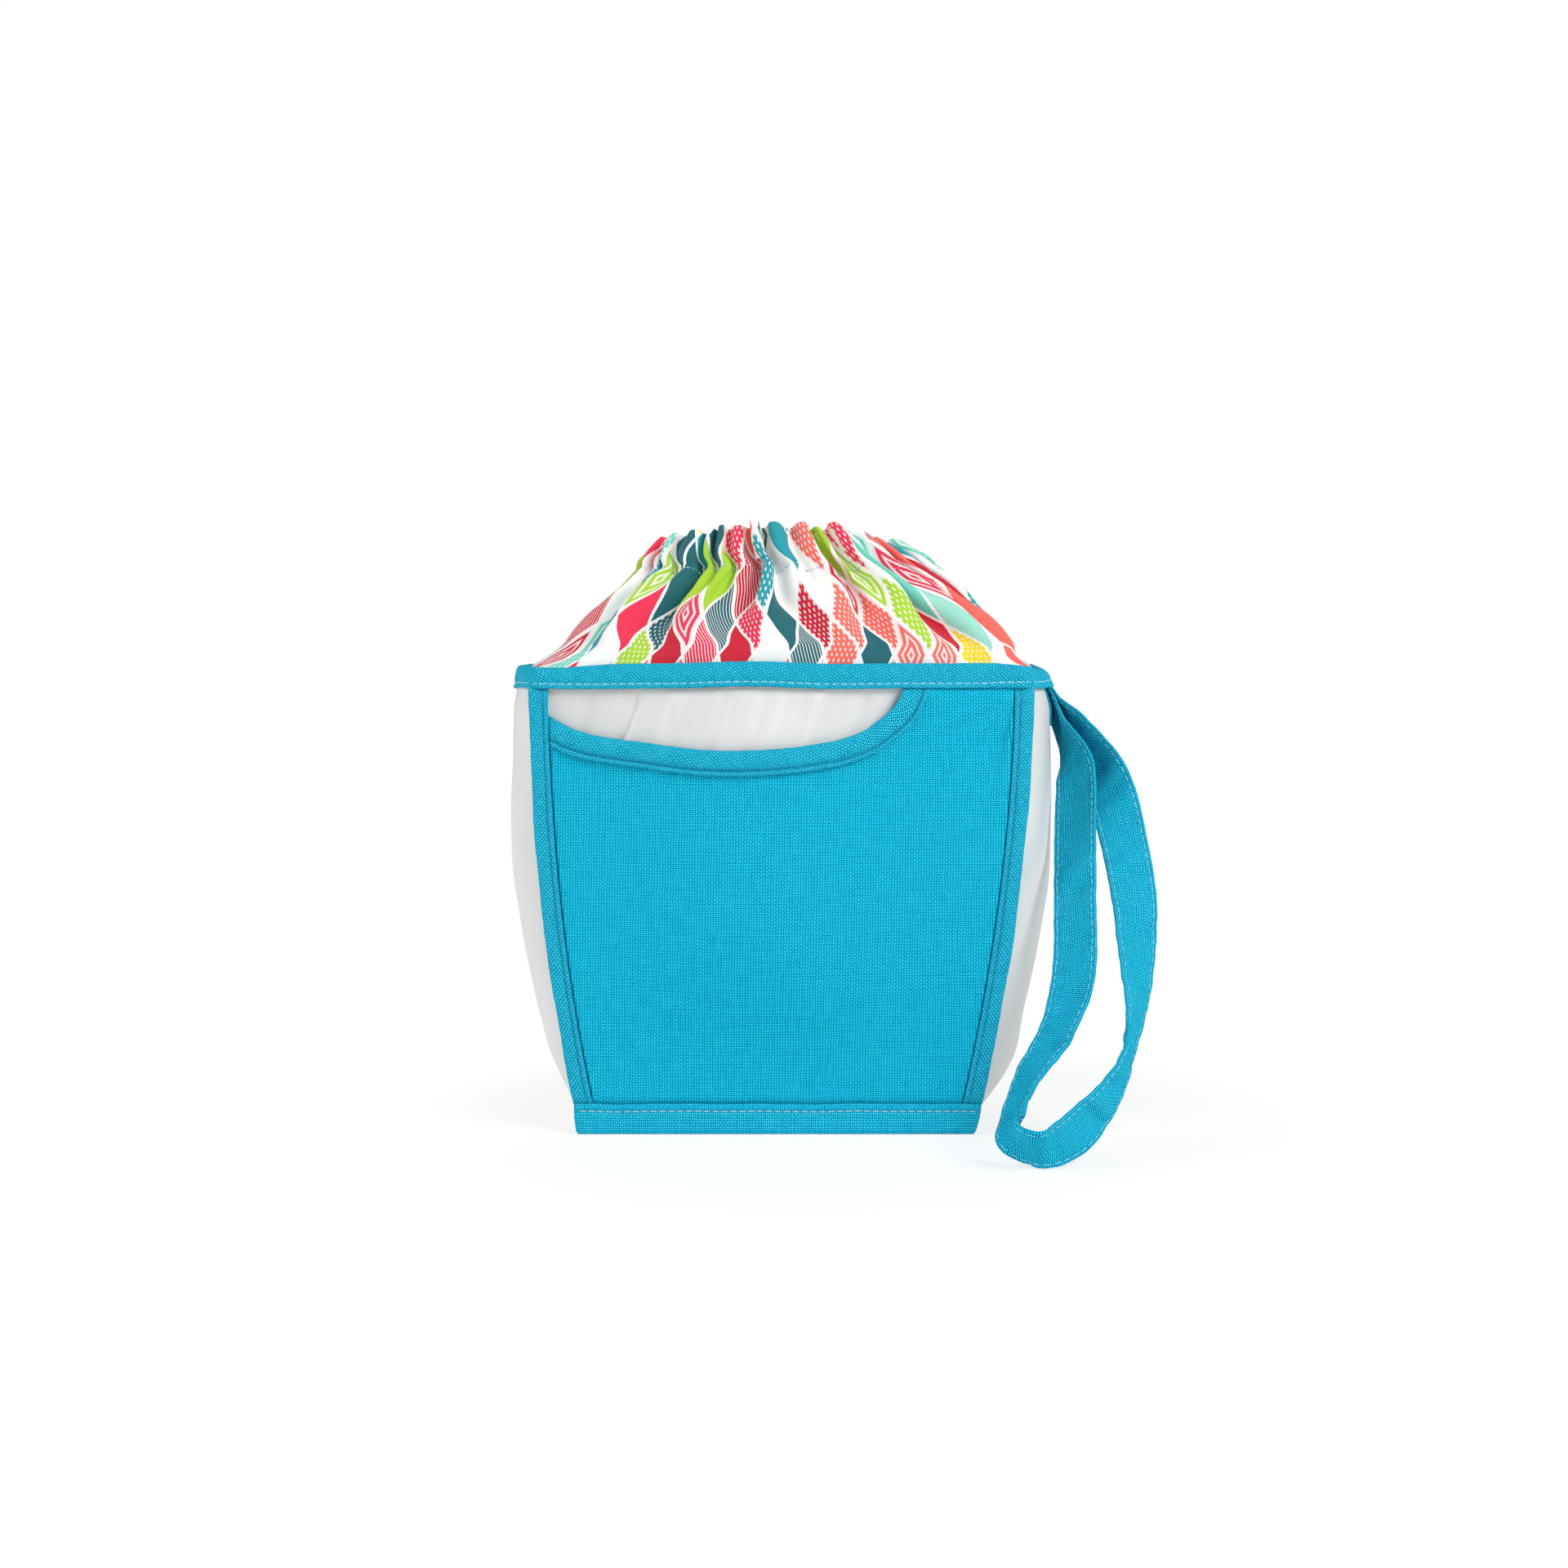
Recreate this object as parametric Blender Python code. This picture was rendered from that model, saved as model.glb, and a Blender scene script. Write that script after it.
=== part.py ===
"""Small knitting bag: frosted vinyl walls, canvas bindings and front pocket, a gathered cloth top
with an elastic mouth, and a wrist strap that hangs from the right side. Metres, +Z up, front to -Y,
origin at the centre of the base on the surface that the bag stands on."""
import math

import bmesh
import bpy
from mathutils import Vector

# Clearance between pieces that touch, and the gap left at a sewn butt seam
CLEAR = 0.0003
SEAM_GAP = 0.0003

# Cloth thicknesses
VINYL = 0.0008
CANVAS = 0.0009
COTTON = 0.0006
ELASTIC = 0.0008
TAPE = 0.0028

# Body: height, half widths at the sewn side seams, how far the sides bulge past them, half depth
WAIST_HEIGHT = 0.1763
SEAM_HALF_BASE = 0.0675
SEAM_HALF_WAIST = 0.0883
SIDE_BULGE_BASE = 0.0125
SIDE_BULGE_WAIST = 0.0172
SEAM_DEPTH = 0.050
FRONT_BOW = 0.005
BOW_HEIGHT = 0.070
WALL_FOOT = 0.0014

# Bindings: side tapes, base tapes and the folded band round the waist
SIDE_TAPE_WIDTH = 0.0075
SIDE_TAPE_LAP = 0.001
BASE_TAPE_HEIGHT = 0.0116
WAIST_BAND_HEIGHT = 0.0095
WAIST_BAND_LEG = 0.0012

# Front pocket: how far it stands off the wall, and the tape folded over its curved mouth
POCKET_GAPE = 0.009
POCKET_GAPE_CENTRE = -0.016
POCKET_GAPE_HALF = 0.068
POCKET_GAPE_RISE = 0.070
MOUTH_TAPE_HEIGHT = 0.0095
MOUTH_TAPE_BACK = 0.0055
MOUTH_TAPE_LEG = 0.0008
MOUTH_TAPE_EASE = 0.00045
MOUTH_TAPE_REACH = 0.003
MOUTH_TURN = 0.030
# Points of the mouth line: distance to the right of the centre, and drop below the waist band
MOUTH_LINE = (
    (-0.092, 0.0068),
    (-0.086, 0.0098),
    (-0.074, 0.0158),
    (-0.050, 0.0201),
    (-0.026, 0.0227),
    (-0.002, 0.0222),
    (0.022, 0.0189),
    (0.034, 0.0132),
    (0.046, 0.0035),
    (0.056, -0.0047),
)

# Gathered top: skirt inside the waist band, neck where the casing is stitched, rim of the mouth
SKIRT_LAP = 0.0048
TOP_TUCK = 0.002
NECK_HALF_WIDTH = 0.062
NECK_HALF_DEPTH = 0.036
NECK_SIDE_RISE = 0.0372
NECK_FRONT_RISE = 0.0387
RIM_HALF_WIDTH = 0.0505
RIM_HALF_DEPTH = 0.030
RIM_SIDE_RISE = 0.0467
RIM_FRONT_RISE = 0.0542
PLEATS = 20
PLEAT_DEPTH = 0.0023
CASING_GAP = 0.0032
CASING_OPEN = 0.0015

# Wrist strap: one loop of folded tape on a knuckle under the waist band
STRAP_WIDTH = 0.0185
STRAP_THICK = 0.0016
KNUCKLE_RADIUS = 0.0012
KNUCKLE_DROP = 0.0006
STRAP_ROOT_Y = -0.008
STRAP_END_HEIGHT = 0.0145
STRAP_END_THICK = 0.001
# Points down the near leg, along the surface and up the far leg: distance to the right of the
# knuckle, distance in front of it, drop below it, and the turn of the tape's face in degrees
STRAP_ROUTE = (
    (-0.0008, 0.0015, 0.0092, 84),
    (0.0008, 0.009, 0.0192, 66),
    (0.0018, 0.019, 0.032, 48),
    (0.0, 0.030, 0.052, 38),
    (-0.002, 0.045, 0.078, 34),
    (-0.004, 0.060, 0.106, 34),
    (-0.010, 0.071, 0.125, 46),
    (-0.0185, 0.080, 0.140, 58),
    (-0.0265, 0.089, 0.1535, 66),
    (-0.024, 0.096, 0.1588, 58),
    (-0.016, 0.098, 0.1587, 46),
    (-0.007, 0.095, 0.1567, 36),
    (0.002, 0.087, 0.150, 38),
    (0.010, 0.081, 0.141, 50),
    (0.016, 0.073, 0.130, 64),
    (0.019, 0.065, 0.116, 58),
    (0.021, 0.054, 0.098, 38),
    (0.021, 0.043, 0.078, 16),
    (0.019, 0.030, 0.055, 10),
    (0.015, 0.019, 0.035, 40),
    (0.009, 0.010, 0.020, 64),
    (0.0025, 0.0015, 0.0092, 84),
)
STRAP_STEP = 0.0065

# Sizes that follow from the ones above
SIDE_HALF_BASE = SEAM_HALF_BASE + SIDE_BULGE_BASE
SIDE_HALF_WAIST = SEAM_HALF_WAIST + SIDE_BULGE_WAIST
WALL_HALF = VINYL / 2
BAND_FOOT = WAIST_HEIGHT - WAIST_BAND_HEIGHT
BAND_INSIDE = WALL_HALF + CLEAR
BAND_OUTSIDE = BAND_INSIDE + WAIST_BAND_LEG
WALL_TOP = WAIST_HEIGHT - WAIST_BAND_LEG - CLEAR
TAPE_BACK = SEAM_DEPTH + WALL_HALF + CLEAR
SIDE_TAPE_FOOT = BASE_TAPE_HEIGHT + CLEAR
SIDE_TAPE_TOP = BAND_FOOT - CLEAR
POCKET_EDGE_STAND = CLEAR + MOUTH_TAPE_LEG + MOUTH_TAPE_EASE
POCKET_EDGE_INSET = SIDE_TAPE_LAP + CLEAR
KNUCKLE_OUTER = KNUCKLE_RADIUS + STRAP_THICK / 2
STRAP_AXIS = Vector((
    SIDE_HALF_WAIST + BAND_OUTSIDE + CLEAR + KNUCKLE_OUTER,
    STRAP_ROOT_Y,
    BAND_FOOT - KNUCKLE_DROP,
))


def clear_scene():
    for obj in list(bpy.data.objects):
        bpy.data.objects.remove(obj, do_unlink=True)


def ease(t):
    t = min(max(t, 0.0), 1.0)
    return t * t * (3.0 - 2.0 * t)


def rise(z, power):
    return 1.0 - (1.0 - min(max(z / WAIST_HEIGHT, 0.0), 1.0)) ** power


def linear(pair):
    c = int(pair, 16) / 255.0
    return c / 12.92 if c <= 0.04045 else ((c + 0.055) / 1.055) ** 2.4


def material(name, colour, roughness):
    mat = bpy.data.materials.new(name)
    mat.use_nodes = True
    shader = mat.node_tree.nodes["Principled BSDF"]
    shader.inputs["Base Color"].default_value = [linear(colour[i:i + 2]) for i in (1, 3, 5)] + [1.0]
    shader.inputs["Roughness"].default_value = roughness
    shader.inputs["Metallic"].default_value = 0.0
    return mat


def finish(name, bm, mat, origin=None):
    """Turns a bmesh into a named object, with its origin where asked."""
    if origin is not None:
        bmesh.ops.translate(bm, verts=bm.verts, vec=-origin)
    mesh = bpy.data.meshes.new(name)
    bm.to_mesh(mesh)
    bm.free()
    mesh.materials.append(mat)
    obj = bpy.data.objects.new(name, mesh)
    bpy.context.scene.collection.objects.link(obj)
    if origin is not None:
        obj.location = origin
    mesh.shade_smooth()
    mesh.set_sharp_from_angle(angle=math.radians(40))
    return obj


def sheet(name, rows, thickness, mat, closed=False):
    """Cloth of even thickness through a grid of points; closed joins each row's ends."""
    bm = bmesh.new()
    grid = [[bm.verts.new(p) for p in row] for row in rows]
    columns = len(rows[0])
    for low, high in zip(grid, grid[1:]):
        for i in range(columns if closed else columns - 1):
            j = (i + 1) % columns
            bm.faces.new((low[i], low[j], high[j], high[i]))
    obj = finish(name, bm, mat)
    solid = obj.modifiers.new("Thickness", "SOLIDIFY")
    solid.thickness = thickness
    solid.offset = 0.0
    solid.use_even_offset = True
    solid.use_quality_normals = True
    return obj


def sweep_mesh(rings, closed=False):
    """Bridges rings of points into one body, with caps at the ends of an open run."""
    bm = bmesh.new()
    loops = [[bm.verts.new(p) for p in ring] for ring in rings]
    count = len(rings[0])
    pairs = list(zip(loops, loops[1:]))
    if closed:
        pairs.append((loops[-1], loops[0]))
    for near, far in pairs:
        for i in range(count):
            j = (i + 1) % count
            bm.faces.new((near[i], near[j], far[j], far[i]))
    if not closed:
        bm.faces.new(loops[0])
        bm.faces.new(loops[-1])
    bmesh.ops.recalc_face_normals(bm, faces=bm.faces)
    return bm


def cut_above(bm, point, normal):
    """Trims a closed body flat at a plane, keeping the side that the normal points away from."""
    geometry = list(bm.verts) + list(bm.edges) + list(bm.faces)
    bmesh.ops.bisect_plane(bm, geom=geometry, plane_co=point, plane_no=normal, clear_outer=True)
    rim = [e for e in bm.edges if e.is_boundary]
    bmesh.ops.edgeloop_fill(bm, edges=rim)
    bmesh.ops.recalc_face_normals(bm, faces=bm.faces)


# Plan of the body at a height: nearly flat front and back, bulging sides
def seam_half(z):
    return SEAM_HALF_BASE + (SEAM_HALF_WAIST - SEAM_HALF_BASE) * rise(z, 2)


def side_half(z):
    return SIDE_HALF_BASE + (SIDE_HALF_WAIST - SIDE_HALF_BASE) * rise(z, 4)


def face_depth(x, z):
    across = min(max(x / seam_half(z), -1.0), 1.0)
    bow = FRONT_BOW * ease((z - BASE_TAPE_HEIGHT) / BOW_HEIGHT)
    return SEAM_DEPTH + bow * (1.0 + math.cos(math.pi * across)) / 2


def face_point(x, z, out, side):
    return Vector((x, side * (face_depth(x, z) + out), z))


def gusset_point(turn, z, out, side):
    bulge = side_half(z) - seam_half(z)
    normal = Vector((math.cos(turn) / bulge, math.sin(turn) / SEAM_DEPTH, 0)).normalized()
    x = seam_half(z) + bulge * math.cos(turn) + normal.x * out
    y = SEAM_DEPTH * math.sin(turn) + normal.y * out
    return Vector((side * x, y, z))


def plan_loop(z, out, steps):
    """Closed outline of the body at a height, from the front centre round by the right side."""
    half = seam_half(z)
    quarter = math.pi / 2
    loop = [face_point(half * i / steps, z, out, -1) for i in range(steps)]
    loop += [gusset_point(-quarter + math.pi * i / (2 * steps), z, out, 1) for i in range(2 * steps)]
    loop += [face_point(half * (1 - i / steps), z, out, 1) for i in range(2 * steps)]
    loop += [gusset_point(quarter - math.pi * i / (2 * steps), z, out, -1) for i in range(2 * steps)]
    loop += [face_point(half * (i / steps - 1), z, out, -1) for i in range(steps)]
    return loop


def even_loop(points, count):
    """The same closed outline, with points at equal steps along it."""
    lengths = [0.0]
    for a, b in zip(points, points[1:] + points[:1]):
        lengths.append(lengths[-1] + (b - a).length)
    result = []
    k = 0
    for i in range(count):
        target = lengths[-1] * i / count
        while lengths[k + 1] < target:
            k += 1
        t = (target - lengths[k]) / (lengths[k + 1] - lengths[k])
        result.append(points[k].lerp(points[(k + 1) % len(points)], t))
    return result


def steps_between(low, high, count):
    return [low + (high - low) * i / count for i in range(count + 1)]


clear_scene()

FROSTED_VINYL = "#e2e3e1"
SKY_CANVAS = "#18b0d0"
BAND_CANVAS = "#24acca"
STRAP_CANVAS = "#12a9c9"
PRINTED_COTTON = "#e8a896"
CREAM_ELASTIC = "#ece9e0"

# Walls: front and back panels between the side seams
wall_rows = steps_between(WALL_FOOT, WALL_TOP, 9)
for name, side in (("front_panel", -1), ("back_panel", 1)):
    rows = []
    for z in wall_rows:
        edge = seam_half(z) - SEAM_GAP / 2
        rows.append([face_point(edge * i / 6, z, 0, side) for i in range(-6, 7)])
    sheet(name, rows, VINYL, material(name, FROSTED_VINYL, 0.38))

# Side gussets, bulging out between the front and back seams
for name, side in (("right_gusset", 1), ("left_gusset", -1)):
    rows = []
    for z in wall_rows:
        start = math.pi / 2 - SEAM_GAP / 2 / (side_half(z) - seam_half(z))
        rows.append([gusset_point(start * i / 7, z, 0, side) for i in range(-7, 8)])
    sheet(name, rows, VINYL, material(name, FROSTED_VINYL, 0.38))

# Base, a flat panel that the walls stand on
base = bmesh.new()
outline = plan_loop(WALL_FOOT, WALL_HALF, 7)
bottom = base.faces.new([base.verts.new((p.x, p.y, 0)) for p in outline])
raised = bmesh.ops.extrude_face_region(base, geom=[bottom])
top_verts = [v for v in raised["geom"] if isinstance(v, bmesh.types.BMVert)]
bmesh.ops.translate(base, verts=top_verts, vec=(0, 0, VINYL))
bmesh.ops.recalc_face_normals(base, faces=base.faces)
finish("base_panel", base, material("base_panel", FROSTED_VINYL, 0.38))

# Side bindings: folded tape over each side seam, standing out as a flat flange
for name, side, hand in (
    ("front_right_binding", -1, 1),
    ("front_left_binding", -1, -1),
    ("back_right_binding", 1, 1),
    ("back_left_binding", 1, -1),
):
    rings = []
    for z in steps_between(SIDE_TAPE_FOOT, SIDE_TAPE_TOP, 10):
        inner = seam_half(z) - SIDE_TAPE_LAP
        outer = inner + SIDE_TAPE_WIDTH
        crown = TAPE * 0.25
        near = TAPE_BACK
        far = TAPE_BACK + TAPE
        profile = (
            (inner, near),
            (outer - crown, near),
            (outer, near + crown),
            (outer, far - crown),
            (outer - crown, far),
            (inner, far),
        )
        rings.append([Vector((hand * x, side * y, z)) for x, y in profile])
    finish(name, sweep_mesh(rings), material(name, SKY_CANVAS, 0.85))

# Base bindings: straight tapes along the lower front and back edges, covering the side tapes' ends
base_tape_half = seam_half(SIDE_TAPE_FOOT) - SIDE_TAPE_LAP + SIDE_TAPE_WIDTH
for name, side in (("front_base_binding", -1), ("back_base_binding", 1)):
    rings = []
    crown = TAPE * 0.25
    profile = (
        (TAPE_BACK, 0),
        (TAPE_BACK + TAPE - crown, 0),
        (TAPE_BACK + TAPE, crown),
        (TAPE_BACK + TAPE, BASE_TAPE_HEIGHT - crown),
        (TAPE_BACK + TAPE - crown, BASE_TAPE_HEIGHT),
        (TAPE_BACK, BASE_TAPE_HEIGHT),
    )
    for x in steps_between(-base_tape_half, base_tape_half, 4):
        rings.append([Vector((x, side * y, z)) for y, z in profile])
    finish(name, sweep_mesh(rings), material(name, BAND_CANVAS, 0.85))

# Waist binding: a band folded over the top edges of the walls, all the way round
fold = WAIST_BAND_LEG * 0.5
band_profile = (
    (BAND_OUTSIDE, BAND_FOOT),
    (BAND_OUTSIDE, WAIST_HEIGHT - fold),
    (BAND_OUTSIDE - fold, WAIST_HEIGHT),
    (fold - BAND_OUTSIDE, WAIST_HEIGHT),
    (-BAND_OUTSIDE, WAIST_HEIGHT - fold),
    (-BAND_OUTSIDE, BAND_FOOT),
    (-BAND_INSIDE, BAND_FOOT),
    (-BAND_INSIDE, WAIST_HEIGHT - WAIST_BAND_LEG),
    (BAND_INSIDE, WAIST_HEIGHT - WAIST_BAND_LEG),
    (BAND_INSIDE, BAND_FOOT),
)
band_lines = [plan_loop(WAIST_HEIGHT, out, 6) for out, _ in band_profile]
rings = []
for station in range(len(band_lines[0])):
    ring = []
    for line, (_, z) in zip(band_lines, band_profile):
        ring.append(Vector((line[station].x, line[station].y, z)))
    rings.append(ring)
finish("waist_binding", sweep_mesh(rings, closed=True), material("waist_binding", BAND_CANVAS, 0.85))


# Front pocket: canvas sewn in at the sides and base, slack below its slanting curved mouth
def pocket_depth(x, z):
    across = min(max((x - POCKET_GAPE_CENTRE) / POCKET_GAPE_HALF, -1.0), 1.0)
    slack = math.cos(math.pi / 2 * across) ** 2 * ease((z - BASE_TAPE_HEIGHT) / POCKET_GAPE_RISE)
    stand = POCKET_EDGE_STAND + POCKET_GAPE * slack
    return face_depth(x, z) + WALL_HALF + stand + CANVAS / 2


def mouth_height(x):
    """Height of the mouth tape's folded edge, a smooth line through the measured points."""
    points = [(side, BAND_FOOT - drop) for side, drop in MOUTH_LINE]
    k = 0
    while k < len(points) - 2 and x > points[k + 1][0]:
        k += 1
    slopes = []
    for i in (k, k + 1):
        before = points[max(i - 1, 0)]
        after = points[min(i + 1, len(points) - 1)]
        slopes.append((after[1] - before[1]) / (after[0] - before[0]))
    (x0, z0), (x1, z1) = points[k], points[k + 1]
    span = x1 - x0
    t = min(max((x - x0) / span, 0.0), 1.0)
    low = z0 * (1 + 2 * t) * (1 - t) ** 2 + z1 * t * t * (3 - 2 * t)
    return low + span * (slopes[0] * t * (1 - t) ** 2 - slopes[1] * t * t * (1 - t))


def mouth_frame(x):
    """A point of the mouth line, and the directions along it and down from it in the canvas."""
    d = 0.0005
    along = Vector((2 * d, 0, mouth_height(x + d) - mouth_height(x - d))).normalized()
    down = Vector((along.z, 0, -along.x))
    return Vector((x, 0, mouth_height(x))), along, down


mouth_start = -(SEAM_HALF_WAIST + MOUTH_TAPE_REACH)
mouth_end = MOUTH_LINE[-1][0] - CLEAR
mouth_stations = steps_between(mouth_start, MOUTH_TURN, 16) + steps_between(MOUTH_TURN, mouth_end, 7)[1:]
edge_drop = MOUTH_TAPE_LEG + 2 * MOUTH_TAPE_EASE
canvas_edge = []
for x in mouth_stations:
    point, along, down = mouth_frame(x)
    canvas_edge.append(point + down * edge_drop)


def canvas_top(x):
    """Upper edge of the canvas: inside the mouth tape, or just under the waist band."""
    limit = SIDE_TAPE_TOP
    for a, b in zip(canvas_edge, canvas_edge[1:]):
        if a.x <= x <= b.x:
            return min(a.z + (b.z - a.z) * (x - a.x) / (b.x - a.x), limit)
    return limit


pocket_edge = seam_half(mouth_height(mouth_start)) - POCKET_EDGE_INSET
columns = [-pocket_edge]
columns += [p.x for p in canvas_edge if 0.003 - pocket_edge < p.x < pocket_edge - 0.003]
columns += steps_between(columns[-1], pocket_edge, 4)[1:]
rows = []
for level in steps_between(0.0, 1.0, 9):
    row = []
    for reference in columns:
        z = SIDE_TAPE_FOOT + (canvas_top(reference) - SIDE_TAPE_FOOT) * level
        x = reference * (seam_half(z) - POCKET_EDGE_INSET) / pocket_edge
        row.append(Vector((x, -pocket_depth(x, z), z)))
    rows.append(row)
sheet("front_pocket", rows, CANVAS, material("front_pocket", SKY_CANVAS, 0.85))

# Mouth binding: bias tape folded over the pocket's mouth, a deep leg in front and a short one behind
slot = CANVAS / 2 + MOUTH_TAPE_EASE
leg = slot + MOUTH_TAPE_LEG
mouth_profile = (
    (leg, MOUTH_TAPE_HEIGHT),
    (leg, MOUTH_TAPE_LEG * 0.5),
    (leg - MOUTH_TAPE_LEG * 0.5, 0.0),
    (MOUTH_TAPE_LEG * 0.5 - leg, 0.0),
    (-leg, MOUTH_TAPE_LEG * 0.5),
    (-leg, MOUTH_TAPE_BACK),
    (-slot, MOUTH_TAPE_BACK),
    (-slot, MOUTH_TAPE_LEG),
    (slot, MOUTH_TAPE_LEG),
    (slot, MOUTH_TAPE_HEIGHT),
)
rings = []
for x in mouth_stations:
    point, along, down = mouth_frame(x)
    ring = []
    for out, drop in mouth_profile:
        p = point + down * drop
        ring.append(Vector((p.x, -(pocket_depth(p.x, p.z) + out), p.z)))
    rings.append(ring)
mouth = sweep_mesh(rings)
cut_above(mouth, (0, 0, SIDE_TAPE_TOP), (0, 0, 1))
left_z = mouth_height(-pocket_edge) - MOUTH_TAPE_HEIGHT / 2
cut_above(mouth, (POCKET_EDGE_INSET - seam_half(left_z), 0, left_z), (-1, 0, -0.02))
finish("pocket_mouth_binding", mouth, material("pocket_mouth_binding", SKY_CANVAS, 0.85))

# Gathered top: a skirt inside the waist band, a pleated shoulder and a casing turned in at the mouth
COLUMNS = PLEATS * 4
skirt_out = BAND_OUTSIDE + CLEAR + COTTON / 2
waist_loop = even_loop(plan_loop(WAIST_HEIGHT, -skirt_out, 40), COLUMNS)


def oval(half_width, half_depth):
    turns = [2 * math.pi * i / 360 for i in range(360)]
    points = [Vector((half_width * math.sin(t), -half_depth * math.cos(t), 0)) for t in turns]
    return even_loop(points, COLUMNS)


neck_loop = oval(NECK_HALF_WIDTH, NECK_HALF_DEPTH)
rim_loop = oval(RIM_HALF_WIDTH, RIM_HALF_DEPTH)
SHOULDER = (0.08, 0.30, 0.60, 0.85, 1.0)
top_rows = [[] for _ in range(len(SHOULDER) + 6)]
elastic_rows = [[], []]
for i in range(COLUMNS):
    waist, neck, rim = waist_loop[i], neck_loop[i], rim_loop[i]
    out = Vector((neck.x / NECK_HALF_WIDTH ** 2, neck.y / NECK_HALF_DEPTH ** 2, 0)).normalized()
    facing = (neck.y / NECK_HALF_DEPTH) ** 2
    neck_rise = NECK_SIDE_RISE + (NECK_FRONT_RISE - NECK_SIDE_RISE) * facing
    rim_rise = RIM_SIDE_RISE + (RIM_FRONT_RISE - RIM_SIDE_RISE) * facing
    pleat = (1.0, 0.0, -1.0, 0.0)[i % 4] * (1.0 + 0.25 * math.sin(7.3 * (i // 4)))
    wave = out * PLEAT_DEPTH * pleat
    column = [Vector((waist.x, waist.y, z)) for z in (BAND_FOOT - SKIRT_LAP, WAIST_HEIGHT - TOP_TUCK)]
    for k in SHOULDER:
        inward = 0.16 * ease(k / 0.08) + 0.84 * k ** 1.2
        p = waist.lerp(neck, inward) + wave * k
        column.append(Vector((p.x, p.y, WAIST_HEIGHT + neck_rise * k)))
    neck_point = column[-1]
    rim_point = Vector((rim.x, rim.y, WAIST_HEIGHT + rim_rise)) + wave * 0.9
    up = (rim_point - neck_point).normalized()
    across = (out - up * out.dot(up)).normalized()
    turned = rim_point - across * CASING_GAP
    column.append(rim_point)
    column.append((rim_point + turned) / 2 + up * CASING_GAP * 0.4)
    column.append(turned)
    column.append(neck_point - across * CASING_GAP + up * CASING_OPEN)
    for row, point in zip(top_rows, column):
        row.append(point)
    for row, share in zip(elastic_rows, (0.25, 0.85)):
        row.append(neck_point.lerp(rim_point, share) - across * CASING_GAP / 2)
sheet("printed_top", top_rows, COTTON, material("printed_top", PRINTED_COTTON, 0.9), closed=True)

# Mouth elastic: a flat band inside the casing
sheet("mouth_elastic", elastic_rows, ELASTIC, material("mouth_elastic", CREAM_ELASTIC, 0.8), closed=True)

# Strap end: the strap's pressed ends, sewn flat to the right side under the waist band
rows = []
reach = STRAP_WIDTH / 2
for z in steps_between(SIDE_TAPE_TOP - STRAP_END_HEIGHT, SIDE_TAPE_TOP, 2):
    row = []
    for y in steps_between(STRAP_ROOT_Y - reach, STRAP_ROOT_Y + reach, 4):
        row.append(gusset_point(math.asin(y / SEAM_DEPTH), z, BAND_INSIDE + STRAP_END_THICK / 2, 1))
    rows.append(row)
sheet("strap_end", rows, STRAP_END_THICK, material("strap_end", STRAP_CANVAS, 0.85))


# Wrist strap: a closed loop of tape over its knuckle, twisted down both legs to the surface
def smooth_route(stations, per_span):
    """Samples of a smooth curve through the stations, each with its turn."""
    points = [Vector(s) for s in stations]
    spans = [(b.xyz - a.xyz).length for a, b in zip(points, points[1:])]
    tangents = []
    for i in range(len(points)):
        before = max(i - 1, 0)
        after = min(i + 1, len(points) - 1)
        tangents.append((points[after] - points[before]) / sum(spans[before:after]))
    samples = []
    for i, span in enumerate(spans):
        steps = max(2, round(span / per_span))
        for j in range(steps):
            t = j / steps
            a = points[i] * ((1 + 2 * t) * (1 - t) ** 2) + points[i + 1] * (t * t * (3 - 2 * t))
            b = tangents[i] * (t * (1 - t) ** 2) - tangents[i + 1] * (t * t * (1 - t))
            samples.append(a + b * span)
    samples.append(points[-1])
    return samples


def strap_rings(stretch):
    """Cross-sections of the loop, with its drops below the knuckle stretched by a factor."""
    axis_x, axis_y, axis_z = STRAP_AXIS
    stations = [(axis_x - KNUCKLE_RADIUS, axis_y, axis_z, 90)]
    for right, front, drop, turn in STRAP_ROUTE:
        stations.append((axis_x + right, axis_y - front, axis_z - drop * stretch, turn))
    stations.append((axis_x + KNUCKLE_RADIUS, axis_y, axis_z, 90))
    route = smooth_route(stations, STRAP_STEP)
    for degrees in (30, 60, 90, 120, 150):
        turn = math.radians(degrees)
        x = axis_x + KNUCKLE_RADIUS * math.cos(turn)
        z = axis_z + KNUCKLE_RADIUS * math.sin(turn)
        route.append(Vector((x, axis_y, z, 90)))
    rings = []
    for i, station in enumerate(route):
        ahead = route[(i + 1) % len(route)].xyz
        tangent = (ahead - route[i - 1].xyz).normalized()
        inward = Vector((-tangent.z, 0, tangent.x)).normalized()
        roll = math.radians(station.w)
        width = inward * math.cos(roll) + Vector((0, -1, 0)) * math.sin(roll)
        width = (width - tangent * width.dot(tangent)).normalized() * STRAP_WIDTH / 2
        thick = tangent.cross(width).normalized() * STRAP_THICK / 2
        centre = station.xyz
        rings.append([centre + width + thick, centre + width - thick, centre - width - thick])
        rings[-1].append(centre - width + thick)
    return rings


# The loop is let down until its lowest edge meets the surface
stretch = 1.0
for _ in range(6):
    lowest = min(p.z for ring in strap_rings(stretch) for p in ring)
    stretch *= STRAP_AXIS.z / (STRAP_AXIS.z - lowest)
rings = strap_rings(stretch)
strap = sweep_mesh(rings, closed=True)
finish("wrist_strap", strap, material("wrist_strap", STRAP_CANVAS, 0.85), STRAP_AXIS)
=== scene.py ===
"""A small knitting bag as it looks: frosted vinyl walls, canvas pocket and bindings, a gathered printed
top with an elastic mouth, and a wrist strap. Metres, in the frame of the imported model, front to -Y."""
import math

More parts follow.
